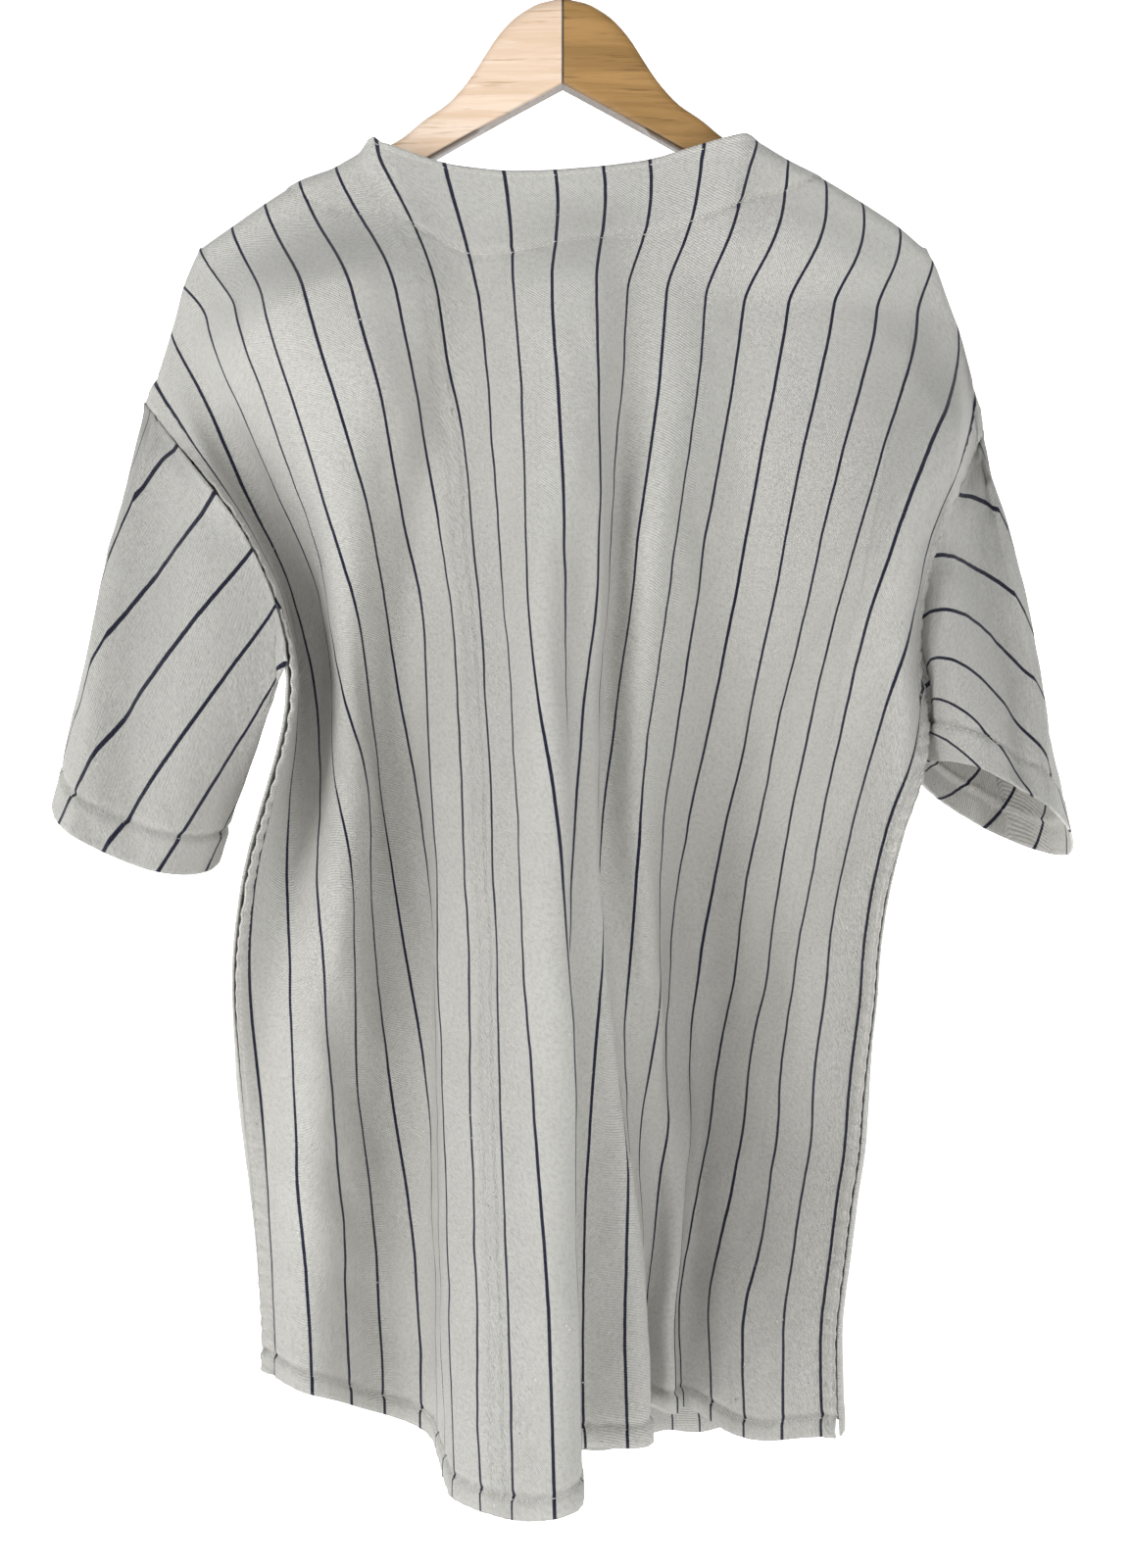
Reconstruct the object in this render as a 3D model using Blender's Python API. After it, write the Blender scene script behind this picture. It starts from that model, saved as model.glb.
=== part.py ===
"""Baseball jersey, seen from its back, hanging on a contoured wooden hanger.

Metres, +Z up.  The back of the jersey faces -Y and the wearer's right is +X.
The origin is the point on the inside of the hanger hook that a rail holds.

The back is built from level sections.  Each section starts at an anchor stripe
and runs outwards along the cloth, turning by the lean of every fold flank that
it meets, so the cloth keeps its width while it folds.  Positions across the
cloth are given in inches from the centre back, because the pinstripes that
rule it are one inch apart.
"""
import math

import bmesh
import bpy
import numpy as np

INCH = 0.0254
CLOTH = 0.0014          # thickness of a body or sleeve wall
FACING = 0.0010         # thickness of the neck facing
SEAM = 0.0003           # clear gap at a seam
HALF_WIDTH = 12.4       # inches from centre back to a side seam
ARMHOLE_WIDTH = 11.4    # inches from centre back to the top of an armhole
BUTTON_RADIUS = 0.0095
BUTTON_COUNT = 7
WIRE_RADIUS = 0.0019
HOOK_RADIUS = 0.0240    # inner radius of the hook
ARM_THICKNESS = 0.013
SHOULDER_ROUND = 0.0108 # radius of the cloth over an arm
RIDGE_GAP = 0.0006      # half the gap between back and front along a shoulder

# Heights at which the fold table gives its columns.
STATIONS = (-0.245, -0.407, -0.488, -0.570, -0.790)

# A fold flank: where it lies (inches), how wide it is (inches) and how far it
# leans (degrees, + towards the camera side as U grows), at the five stations.
FLANKS = (
    # name            centre                              width                      lean
    ("left_pit",    (-11.6, -11.1, -11.4, -11.9, -12.6), (2.2, 3.0, 2.8, 1.8, 1.0), (-66, -90, -92, -66, 0)),
    ("left_hump",   (-8.2, -8.4, -9.1, -10.3, -11.8),    (3.4, 2.4, 2.3, 1.9, 1.6), (46, 74, 76, 42, 50)),
    ("left_dark",   (-3.4, -6.3, -7.4, -8.4, -10.1),     (2.2, 1.8, 2.0, 2.6, 2.8), (-26, -58, -62, -64, -42)),
    ("left_steep",  (-4.0, -5.4, -5.5, -5.5, -6.4),      (1.0, 1.0, 1.1, 1.1, 2.9), (0, 10, 50, 72, 75)),
    ("left_rise",   (-0.8, -2.6, -2.9, -3.0, -3.3),      (2.0, 5.2, 4.2, 3.7, 3.4), (30, 48, 50, 54, 46)),
    ("main_fall",   (0.6, 0.0, 0.0, 0.0, 0.1),           (1.0, 1.2, 1.6, 2.3, 3.8), (0, -62, -92, -96, -96)),
    ("crease_fall", (1.6, 1.6, 2.0, 2.5, 4.6),           (1.2, 1.3, 1.6, 1.9, 2.6), (-40, -80, -82, -86, -93)),
    ("crest_rise",  (0.9, 0.9, 0.9, 1.3, 2.7),           (0.8, 0.8, 0.8, 0.8, 1.5), (0, 0, 0, 20, 36)),
    ("mid_rise",    (2.6, 2.8, 3.2, 3.6, 4.6),           (1.0, 1.0, 0.9, 1.0, 1.0), (-12, 56, 60, 64, 0)),
    ("mid_fall",    (4.0, 4.7, 4.9, 5.3, 7.5),           (1.8, 2.8, 2.6, 2.9, 1.3), (-22, -48, -58, -74, -90)),
    ("low_rise",    (6.3, 6.3, 6.3, 6.3, 6.4),           (0.9, 0.9, 0.9, 0.9, 0.9), (0, 0, 0, 0, 58)),
    ("right_rise",  (7.3, 8.6, 9.2, 9.7, 10.4),          (4.8, 4.4, 6.0, 6.6, 5.0), (-16, 50, 54, 59, 49)),
    ("right_edge",  (10.6, 11.3, 12.2, 12.9, 12.9),      (0.8, 2.0, 1.4, 0.6, 0.6), (-50, -91, -91, 0, 0)),
)

# The anchor stripe, two inches left of centre back: height, X, reach to the camera side.
ANCHOR_U = -2.0
ANCHOR = (
    # z       x        reach
    (-0.165, -0.0625, 0.013),
    (-0.245, -0.0475, 0.024),
    (-0.300, -0.0405, 0.032),
    (-0.407, -0.0310, 0.050),
    (-0.515, -0.0260, 0.068),
    (-0.570, -0.0235, 0.075),
    (-0.680, -0.0160, 0.082),
    (-0.790, -0.0085, 0.085),
    (-0.910, -0.0050, 0.085),
)

# Top edge of the back: shoulder line, back neckline, shoulder line.
TOP_EDGE = (
    # u       x        z
    (-11.4, -0.2475, -0.2900),
    (-11.0, -0.2400, -0.2760),
    (-10.0, -0.2300, -0.2480),
    (-9.0, -0.2230, -0.2220),
    (-8.0, -0.2130, -0.2020),
    (-7.0, -0.1920, -0.1905),
    (-6.0, -0.1720, -0.1790),
    (-5.0, -0.1510, -0.1680),
    (-4.0, -0.1290, -0.1625),
    (-3.1, -0.1080, -0.1535),
    (-2.0, -0.0660, -0.1680),
    (-1.0, -0.0325, -0.1730),
    (0.0, -0.0040, -0.1735),
    (1.0, 0.0225, -0.1715),
    (2.0, 0.0480, -0.1665),
    (3.0, 0.0790, -0.1560),
    (3.9, 0.1080, -0.1475),
    (5.0, 0.1280, -0.1582),
    (6.0, 0.1500, -0.1670),
    (7.0, 0.1720, -0.1780),
    (8.0, 0.1950, -0.1900),
    (9.0, 0.2170, -0.2060),
    (10.0, 0.2310, -0.2420),
    (11.0, 0.2420, -0.2770),
    (11.4, 0.2490, -0.3090),
)
NECK_LEFT, NECK_RIGHT = -3.5, 4.2

# How far the cloth is drawn sideways, in millimetres: height, then columns by U.
DRAW_AT = (-12.0, -10.0, -8.0, -6.0, -3.0, 0.0, 2.0, 4.0, 6.0, 8.0, 10.0, 11.5)
DRAW = (
    # z      -12 -10  -8  -6  -3    0    2    4    6    8   10  11.5
    (-0.170, (0, 0, 0, 0, 0, 0, 0, 0, 0, 0, 0, 0)),
    (-0.245, (0, 0, 0, 5, 4, -3, -6, -10, -9, -6, -2, 0)),
    (-0.300, (0, 4, 5, 8, 3, -4, -11, -18, -20, -24, -32, -6)),
    (-0.353, (8, 8, 10, 9, 2, -6, -12, -20, -20, -25, -34, -20)),
    (-0.407, (15, 16, 10, 8, 2, -9, -11, -20, -15, -18, -20, -20)),
    (-0.461, (24, 20, 11, 2, 4, -8, -6, -11, -6, -9, -7, -6)),
    (-0.515, (24, 22, 12, 1, 4, 0, 1, -5, 1, -1, 3, 3)),
    (-0.569, (21, 20, 9, 0, 3, 1, 2, -2, 0, 2, 6, 5)),
    (-0.623, (15, 14, 6, 0, 2, 0, -1, -2, -8, -5, -5, -1)),
    (-0.677, (15, 12, 6, 0, 1, 0, -2, -5, -14, -20, -18, -12)),
    (-0.731, (11, 10, 4, 0, 2, 0, 0, -4, -8, -19, -14, -13)),
    (-0.785, (8, 7, 3, 0, 2, 0, 0, 0, 0, -11, -6, -3)),
    (-0.839, (9, 8, 3, 0, 2, 0, 0, 0, -5, -14, -16, -6)),
)

# Hem of the back.
HEM_EDGE = (
    # u      z
    (-12.4, -0.851),
    (-11.0, -0.861),
    (-9.0, -0.884),
    (-7.0, -0.900),
    (-5.0, -0.908),
    (-3.0, -0.905),
    (-1.5, -0.895),
    (3.0, -0.893),
    (6.0, -0.888),
    (8.0, -0.893),
    (10.0, -0.907),
    (12.4, -0.886),
)

# Hanger arm: distance from the centre joint, top and bottom heights, sweep away from the camera.
ARM = (
    # x      top      bottom   sweep
    (0.000, -0.0700, -0.1198, 0.0000),
    (0.015, -0.0730, -0.1278, 0.0001),
    (0.028, -0.0810, -0.1346, 0.0005),
    (0.038, -0.0920, -0.1400, 0.0012),
    (0.046, -0.1050, -0.1442, 0.0018),
    (0.054, -0.1170, -0.1484, 0.0025),
    (0.065, -0.1290, -0.1543, 0.0037),
    (0.080, -0.1380, -0.1622, 0.0056),
    (0.090, -0.1465, -0.1675, 0.0071),
    (0.100, -0.1515, -0.1728, 0.0088),
    (0.130, -0.1665, -0.1880, 0.0148),
    (0.150, -0.1745, -0.1955, 0.0197),
    (0.170, -0.1840, -0.2040, 0.0253),
    (0.190, -0.1940, -0.2120, 0.0316),
    (0.204, -0.2010, -0.2160, 0.0364),
    (0.208, -0.2050, -0.2130, 0.0379),
)


# ---------------------------------------------------------------- small maths

def smooth(t):
    t = np.clip(t, 0.0, 1.0)
    return t * t * (3.0 - 2.0 * t)


def column(table, key, value, at):
    """Read one column of a table against another."""
    rows = np.array(table, dtype=float)
    order = np.argsort(rows[:, key])
    return np.interp(at, rows[order, key], rows[order, value])


def soft_column(table, key, value, at, span):
    """The same, rounded over a short span so that the edge has no corners."""
    shifts = np.linspace(-span, span, 9)
    return np.mean([column(table, key, value, at + s) for s in shifts], axis=0)


def at_station(values, z):
    """A fold's column at height z, rounded so that no fold has a kink."""
    shifts = (-0.045, -0.030, -0.015, 0.0, 0.015, 0.030, 0.045)
    return float(np.mean(np.interp([-z + d for d in shifts], [-s for s in STATIONS], values)))


def arm_top(x):
    return soft_column(ARM, 0, 1, np.abs(x), 0.004)


def arm_bottom(x):
    return column(ARM, 0, 2, np.abs(x))


def arm_sweep(x):
    return 0.0379 * (np.minimum(np.abs(x), 0.26) / 0.208) ** 2


# ---------------------------------------------------------------- back panel

def lean(u, z):
    """Turn of the cloth away from the flat, in radians."""
    total = np.zeros_like(u)
    for _, centre, width, angle in FLANKS:
        t = (u - at_station(centre, z)) / (0.5 * at_station(width, z))
        total += at_station(angle, z) / (1.0 + t ** 6)
    ease = 1.0 - 0.75 * smooth((z + 0.245) / 0.060)
    return np.radians(np.clip(total, -100, 100)) * ease


STEPS = np.linspace(-HALF_WIDTH, HALF_WIDTH, 1241)


def level_section(u, z):
    """X and reach of the cloth at one height."""
    angle = lean(STEPS, z)
    run = np.concatenate([[0], np.cumsum(0.5 * (np.cos(angle)[1:] + np.cos(angle)[:-1]) * np.diff(STEPS))])
    rise = np.concatenate([[0], np.cumsum(0.5 * (np.sin(angle)[1:] + np.sin(angle)[:-1]) * np.diff(STEPS))])
    x = np.interp(u, STEPS, run) - np.interp(ANCHOR_U, STEPS, run)
    reach = np.interp(u, STEPS, rise) - np.interp(ANCHOR_U, STEPS, rise)
    return (x * INCH + column(ANCHOR, 0, 1, z), reach * INCH + column(ANCHOR, 0, 2, z))


def half_width(s):
    """Half width of the panel in inches, down the armhole and the side seam."""
    t = np.clip(s / ARMPIT, 0.0, 1.0)
    return ARMHOLE_WIDTH + (HALF_WIDTH - ARMHOLE_WIDTH) * t ** 2


ARMPIT = 0.27           # share of a side's height at which the armhole ends
TOP_ROWS = (0.0, 0.005, 0.010, 0.0157)  # distances below the top edge, along the cloth


def on_arm(u):
    """1 where the cloth lies over a hanger arm or shoulder, 0 at the open neckline."""
    return float(smooth(max((u - NECK_RIGHT) / 0.6 + 1.0, (NECK_LEFT - u) / 0.6 + 1.0)))


def drawn(u, z):
    """Sideways draw of the cloth at one point, rounded across its table's columns."""
    heights = [-row[0] for row in DRAW]
    total = 0.0
    for shift in (-0.9, -0.45, 0.0, 0.45, 0.9):
        at = [np.interp(u + shift, DRAW_AT, row[1]) for row in DRAW]
        total += float(np.mean([np.interp(-z + d, heights, at) for d in (-0.024, -0.012, 0.0, 0.012, 0.024)]))
    return 0.001 * total / 5.0


def arm_room(x, z):
    """Least distance of the cloth from the middle of a hanger arm, beside or over it."""
    above = z - float(arm_top(x))
    need = float(np.interp(-above, (-0.0040, -0.0026, 0.0011, 0.0068), (0.0006, 0.0056, 0.0093, 0.0108)))
    beside = float(smooth((z - float(arm_bottom(x)) + 0.030) / 0.022)) * float(smooth((0.222 - abs(x)) / 0.010))
    return need * beside - 0.25 * (1.0 - beside)


def top_edge(u):
    x = float(soft_column(TOP_EDGE, 0, 1, u, 0.25))
    z = float(soft_column(TOP_EDGE, 0, 2, u, 0.25))
    if abs(x) < 0.214:
        z += max(0.0, float(arm_top(x)) + 0.0040 - z) * float(smooth(on_arm(u) * 4.0))
    return x, z


def back_point(u, p, s):
    """A point of the back: p metres below its top edge, then share s to the hem."""
    top_x, top_z = top_edge(u)
    over = on_arm(u)
    turn = min(p / SHOULDER_ROUND, 0.5 * math.pi)
    dropped = over * SHOULDER_ROUND * (1.0 - math.cos(turn)) + (1.0 - over) * p
    hem_z = float(soft_column(HEM_EDGE, 0, 1, u, 0.8))
    start_z = top_z - dropped
    z = start_z + s * (hem_z - start_z)
    x, reach = level_section(u, z)
    x0, _ = level_section(u, top_z)
    down = top_z - z
    near_top = math.exp(-(down / 0.040) ** 1.6)
    x += (top_x - x0) * near_top + drawn(u, z) * (1.0 - near_top)
    ridge = -float(arm_sweep(x))
    free = max(reach, ridge + arm_room(x, z)) if abs(x) < 0.222 else reach
    shoulder = ridge + RIDGE_GAP + (SHOULDER_ROUND - RIDGE_GAP) * math.sin(turn)
    settle = float(smooth((down - 0.012) / 0.060))
    rolled = shoulder * (1.0 - settle) + free * settle
    return x, -max(over * rolled + (1.0 - over) * free, ridge + arm_room(x, z)), z


SHARES = [ARMPIT * k / 6 for k in range(1, 7)] + [ARMPIT + (1.0 - ARMPIT) * k / 12 for k in range(1, 13)]
BACK_ROWS = [(p, 0.0) for p in TOP_ROWS] + [(TOP_ROWS[-1], s) for s in SHARES]
PIT_ROW = len(TOP_ROWS) + 5
BACK_COLUMNS = np.linspace(-1.0, 1.0, 61)


def back_grid():
    grid = []
    for p, s in BACK_ROWS:
        w = half_width(s)
        grid.append([back_point(float(c * w), p, s) for c in BACK_COLUMNS])
    return np.array(grid)


# ---------------------------------------------------------------- meshes

def material(name, colour, roughness, metallic=0.0):
    made = bpy.data.materials.new(name)
    made.use_nodes = True
    shader = made.node_tree.nodes["Principled BSDF"]
    shader.inputs["Base Color"].default_value = (*colour, 1.0)
    shader.inputs["Roughness"].default_value = roughness
    shader.inputs["Metallic"].default_value = metallic
    return made


def add_object(name, points, faces, look):
    mesh = bpy.data.meshes.new(name)
    mesh.from_pydata([tuple(map(float, p)) for p in points], [], faces)
    mesh.update()
    made = bpy.data.objects.new(name, mesh)
    bpy.context.collection.objects.link(made)
    made.data.materials.append(look)
    return made


def grid_faces(rows, columns, wrap=False):
    last = columns if wrap else columns - 1
    faces = []
    for j in range(rows - 1):
        for i in range(last):
            k = (i + 1) % columns
            faces.append((j * columns + i, (j + 1) * columns + i, (j + 1) * columns + k, j * columns + k))
    return faces


def grid_normals(grid, wrap=False):
    """Unit normals of a grid, from its neighbours."""
    if wrap:
        across = np.roll(grid, -1, axis=1) - np.roll(grid, 1, axis=1)
    else:
        across = np.gradient(grid, axis=1)
    down = np.gradient(grid, axis=0)
    normal = np.cross(across, down)
    length = np.linalg.norm(normal, axis=2, keepdims=True)
    return normal / np.maximum(length, 1e-9)


def shell(name, grid, thickness, look, wrap=False):
    """A closed wall around a grid of points on its middle surface."""
    rows, columns = grid.shape[:2]
    made = add_object(name, grid.reshape(-1, 3), grid_faces(rows, columns, wrap), look)
    wall = made.modifiers.new("Wall", "SOLIDIFY")
    wall.thickness = thickness
    wall.offset = 0.0
    wall.use_rim = True
    wall.use_even_offset = False
    made.data.shade_smooth()
    return made


def loft(name, sections, look):
    """A closed body through matching closed sections, capped at both ends."""
    count = len(sections[0])
    points = [p for section in sections for p in section]
    faces = []
    for j in range(len(sections) - 1):
        for i in range(count):
            k = (i + 1) % count
            faces.append((j * count + i, j * count + k, (j + 1) * count + k, (j + 1) * count + i))
    faces.append(tuple(reversed(range(count))))
    faces.append(tuple(range((len(sections) - 1) * count, len(sections) * count)))
    made = add_object(name, points, faces, look)
    body = bmesh.new()
    body.from_mesh(made.data)
    bmesh.ops.recalc_face_normals(body, faces=body.faces)
    body.to_mesh(made.data)
    body.free()
    return made


# ---------------------------------------------------------------- front panels

SEAM_STEP = CLOTH + 0.0005
FRONT_REACH = (
    # z       reach of the centre front, away from the camera
    (-0.240, -0.030),
    (-0.330, -0.052),
    (-0.450, -0.082),
    (-0.600, -0.108),
    (-0.800, -0.122),
    (-0.940, -0.126),
)
FRONT_PLEATS = (
    # share of the way from side to centre, width share, depth at the hem
    (0.20, 0.16, 0.016),
    (0.42, 0.18, -0.014),
    (0.62, 0.16, 0.015),
    (0.82, 0.18, -0.010),
)
CENTRE_TOP, CENTRE_HEM = -0.252, -0.936     # heights of the centre front
FRONT_COLUMNS = np.linspace(0.0, 1.0, 23)
LAP = 0.0155                                # half the overlap of the two fronts


def edge_at(line, z, k):
    return float(np.interp(-z, -line[:, 2], line[:, k]))


def centre_front(z, left_line, right_line):
    return 0.5 * (edge_at(left_line, z, 0) + edge_at(right_line, z, 0)), -float(column(FRONT_REACH, 0, 1, z))


def front_grid(side, back, back_normal):
    """One front, from its side edge (share 0) to the centre front (share 1)."""
    edge = 0 if side < 0 else -1
    line = back[:, edge]
    inward = back_normal[:, edge]
    neck_u = NECK_LEFT if side < 0 else NECK_RIGHT
    share_neck = 1.0 - abs(neck_u) / HALF_WIDTH
    neck_x, neck_z = top_edge(neck_u)
    neck_y = float(arm_sweep(neck_x)) + RIDGE_GAP
    centre_x, centre_y = centre_front(CENTRE_TOP, back[:, 0], back[:, -1])
    pit_z, shoulder_z = line[PIT_ROW, 2], line[0, 2]
    grid = np.zeros((len(BACK_ROWS), len(FRONT_COLUMNS), 3))
    for i, c in enumerate(FRONT_COLUMNS):
        # top edge: the shoulder line shared with the back, then the neckline
        if c <= share_neck:
            u = math.copysign(ARMHOLE_WIDTH + (abs(neck_u) - ARMHOLE_WIDTH) * c / share_neck, neck_u)
            top_x, top_z = top_edge(u)
            top_y = float(arm_sweep(top_x)) + RIDGE_GAP
        else:
            t = (c - share_neck) / (1.0 - share_neck)
            top_x = neck_x + (centre_x - neck_x) * (1.0 - (1.0 - t) ** 1.5)
            fall = max(0.0, (t - 0.07) / 0.93)
            top_z = neck_z - (neck_z - CENTRE_TOP) * (1.0 - (1.0 - fall) ** 2) ** 0.7
            top_y = neck_y + 0.0105 * float(smooth(t / 0.03))
            top_y += (centre_y - top_y) * float(smooth(fall / 0.4))
        over = 1.0 if c <= share_neck else 0.0
        hem_z = line[-1, 2] + (CENTRE_HEM - line[-1, 2]) * float(smooth(c / 0.8))
        for j, (p, s) in enumerate(BACK_ROWS):
            turn = min(p / SHOULDER_ROUND, 0.5 * math.pi)
            start_z = top_z - (over * SHOULDER_ROUND * (1.0 - math.cos(turn)) + (1.0 - over) * p)
            z = start_z + s * (hem_z - start_z)
            down = top_z - z
            # level section at this height, from the side edge to the centre
            hole = math.sin(math.pi * float(np.clip((shoulder_z - z) / (shoulder_z - pit_z), 0, 1)))
            push = [float(np.interp(-z, -line[:, 2], inward[:, k])) for k in range(3)]
            side_x = edge_at(line, z, 0) + push[0] * SEAM_STEP
            side_y = edge_at(line, z, 1) + push[1] * SEAM_STEP + 0.050 * hole
            mid_x, mid_y = centre_front(z, back[:, 0], back[:, -1])
            x = side_x + (mid_x - side_x) * (c - 0.36 * math.sin(math.pi * c) * math.exp(-c / 0.20))
            x += side * 0.007 * math.sin(math.pi * min(c / 0.14, 1.0)) * float(smooth((pit_z - 0.10 - z) / 0.15))
            y = side_y + (mid_y - side_y) * (1.0 - (1.0 - c) ** 4)
            depth = float(smooth((-0.22 - z) / 0.45))
            for centre, width, pleat in FRONT_PLEATS:
                y += depth * pleat / (1.0 + ((c - centre) / (0.5 * width)) ** 4)
            y += (mid_y - y) * float(smooth((c - 0.69) / 0.13))
            # over the arm, then down to that section
            ridge = float(arm_sweep(top_x))
            shoulder = ridge + RIDGE_GAP + (SHOULDER_ROUND - RIDGE_GAP) * math.sin(turn)
            start_y = over * shoulder + (1.0 - over) * top_y
            blend = float(smooth((down - 0.012 * over) / 0.075))
            x = top_x + (x - top_x) * blend
            y = start_y + (y - start_y) * blend
            beyond = 0.004 * float(smooth((c - share_neck + 0.02) / 0.02))
            grid[j, i] = (x, max(y, float(arm_sweep(x)) + arm_room(x, z) + beyond if abs(x) < 0.222 else y), z)
    # draw the first columns onto the side edge and the armhole
    for j in range(len(BACK_ROWS)):
        hole = math.sin(math.pi * float(np.clip((shoulder_z - line[j, 2]) / (shoulder_z - pit_z), 0, 1)))
        start = line[j] + inward[j] * SEAM_STEP + np.array([0.0, 0.050 * hole, 0.0])
        if j < len(TOP_ROWS):
            mirrored = 2 * float(arm_sweep(line[j, 0])) - line[j, 1]
            start = np.array([line[j, 0], max(mirrored, line[j, 1] + 2 * RIDGE_GAP) + 0.050 * hole, line[j, 2]])
        shift = start - grid[j, 0]
        for i, c in enumerate(FRONT_COLUMNS):
            grid[j, i] += shift * (1.0 - float(smooth(c / 0.20)))
    # the two fronts lap at the centre, the left one outside
    for j in range(len(BACK_ROWS)):
        for i, c in enumerate(FRONT_COLUMNS):
            near = float(smooth((c - 0.66) / 0.17))
            grid[j, i, 0] -= side * LAP * near
            grid[j, i, 1] -= side * near * (0.0013 + 0.0014 * float(smooth((grid[j, i, 2] + 0.37) / 0.06)))
    return grid


def clear_of_back(front, back, gap):
    """Keep a front clear of the folds of the back that reach towards it."""
    flat = back.reshape(-1, 3)
    for j in range(front.shape[0]):
        for i in range(1, front.shape[1]):
            x, y, z = front[j, i]
            near = (np.abs(flat[:, 0] - x) < 0.012) & (np.abs(flat[:, 2] - z) < 0.022)
            if near.any():
                need = flat[near, 1].max() + gap * min(1.0, FRONT_COLUMNS[i] / 0.2)
                if y < need and z < -0.30:
                    front[j, i, 1] = need
    return front


# ---------------------------------------------------------------- sleeves

# Sleeve hem: a tilted oval.  Outer and underarm ends of its near edge, and its depth.
SLEEVE_HEM = {
    -1: {"outer": (-0.289, -0.522), "under": (-0.196, -0.560), "near": 0.050, "far": -0.075, "lead": -0.020,
         "near_sag": 0.013, "far_sag": -0.004},
    1: {"outer": (0.291, -0.556), "under": (0.200, -0.506), "near": 0.040, "far": -0.080, "lead": -0.035,
        "near_sag": -0.014, "far_sag": 0.006},
}
SLEEVE_FOLDS = (
    # share along the near half from the top, width share, depth
    (0.50, 0.20, -0.006),
    (0.30, 0.22, 0.003),
    (0.74, 0.20, 0.004),
)


def sleeve_grid(side, back, front, rows):
    """A tube from the armhole to the sleeve hem: near half first, then far half."""
    edge = 0 if side < 0 else -1
    near = back[:PIT_ROW + 1, edge]
    far = front[1:PIT_ROW, 0]
    root = np.concatenate([near, far[::-1]])
    shares = [k / PIT_ROW for k in range(PIT_ROW + 1)] + [k / PIT_ROW for k in range(PIT_ROW - 1, 0, -1)]
    hem = SLEEVE_HEM[side]
    (ox, oz), (ux, uz) = hem["outer"], hem["under"]
    middle = -0.5 * (hem["near"] + hem["far"])
    spread = 0.5 * (hem["near"] - hem["far"])
    ring = []
    for k, a in enumerate(shares):
        across = 0.5 - 0.5 * math.cos(math.pi * a)
        bulge = math.sin(math.pi * a)
        towards = -1.0 if k <= PIT_ROW else 1.0
        sag = hem["near_sag"] if k <= PIT_ROW else hem["far_sag"]
        ring.append((ox + (ux - ox) * across, middle + hem["lead"] * across + towards * spread * bulge,
                     oz + (uz - oz) * across - sag * bulge))
    ring = np.array(ring)
    inner = back[:PIT_ROW + 1, 1 if side < 0 else -2]
    away_near = near - inner
    away_far = front[:PIT_ROW + 1, 0] - front[:PIT_ROW + 1, 1]
    away_near /= np.linalg.norm(away_near, axis=1, keepdims=True)
    away_far /= np.linalg.norm(away_far, axis=1, keepdims=True)
    away_far += np.array([1.2 * side, 0.0, 0.0])
    for end in (0, -1):
        away_near[end] = away_near[end] + away_far[end] + np.array([1.0 * side, 0.0, 0.0])
        root[0 if end == 0 else PIT_ROW] = 0.5 * (near[end] + front[0 if end == 0 else PIT_ROW, 0])
    away = np.concatenate([away_near, away_far[1:-1][::-1]])
    along = np.roll(root, -1, axis=0) - np.roll(root, 1, axis=0)
    along /= np.linalg.norm(along, axis=1, keepdims=True)
    away -= along * np.sum(away * along, axis=1, keepdims=True)
    away /= np.linalg.norm(away, axis=1, keepdims=True)
    pit = np.array([max(0.0, 1.0 - 0.5 * abs(k - PIT_ROW)) for k in range(len(root))])
    start = root + away * (CLOTH + SEAM + 0.0014 * pit[:, None])
    levels = np.linspace(root[PIT_ROW, 2] + 0.006, -0.62, 40)
    widest = np.array([max(side * np.interp(-z, -grid[:, i, 2], grid[:, i, 0]) for grid in (back, front)
                           for i in range(grid.shape[1])) for z in levels])
    grid = []
    for j in range(rows):
        t = j / (rows - 1)
        line = start + (ring - start) * t
        swell = math.sin(math.pi * t)
        for k, a in enumerate(shares):
            towards = -1.0 if k <= PIT_ROW else 1.0
            line[k, 1] += towards * 0.008 * swell * math.sin(math.pi * a)
            if k <= PIT_ROW:
                for centre, width, depth in SLEEVE_FOLDS:
                    line[k, 1] -= depth * smooth(t * 2.5) / (1.0 + ((a - centre) / (0.5 * width)) ** 4)
        if j:
            for k in range(len(line)):
                # beside the body, under the arm
                room = CLOTH + 0.0008 + (0.0026 if k < PIT_ROW else 0.0)
                limit = side * (float(np.interp(-line[k, 2], -levels, widest)) + room)
                under = float(smooth((root[PIT_ROW, 2] + 0.036 - line[k, 2]) / 0.026))
                line[k, 0] += under * side * max(0.0, side * (limit - line[k, 0]))
        grid.append(line)
    return np.array(grid)


# ---------------------------------------------------------------- hanger

def arm_sections(side):
    sections = []
    for x, top, bottom, sweep in ARM:
        start = max(x, 0.5 * SEAM)
        mid, half = 0.5 * (top + bottom), 0.5 * (top - bottom)
        thick = 0.5 * ARM_THICKNESS * (1.0 if x < 0.2 else 0.8 if x < 0.206 else 0.45)
        ring = []
        for dy, dz in ((-1, -0.75), (-0.7, -1), (0.7, -1), (1, -0.75), (1, 0.72), (0.55, 0.97), (-0.55, 0.97), (-1, 0.72)):
            ring.append((side * start, sweep + dy * thick, mid + dz * half))
        sections.append(ring)
    return sections


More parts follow.
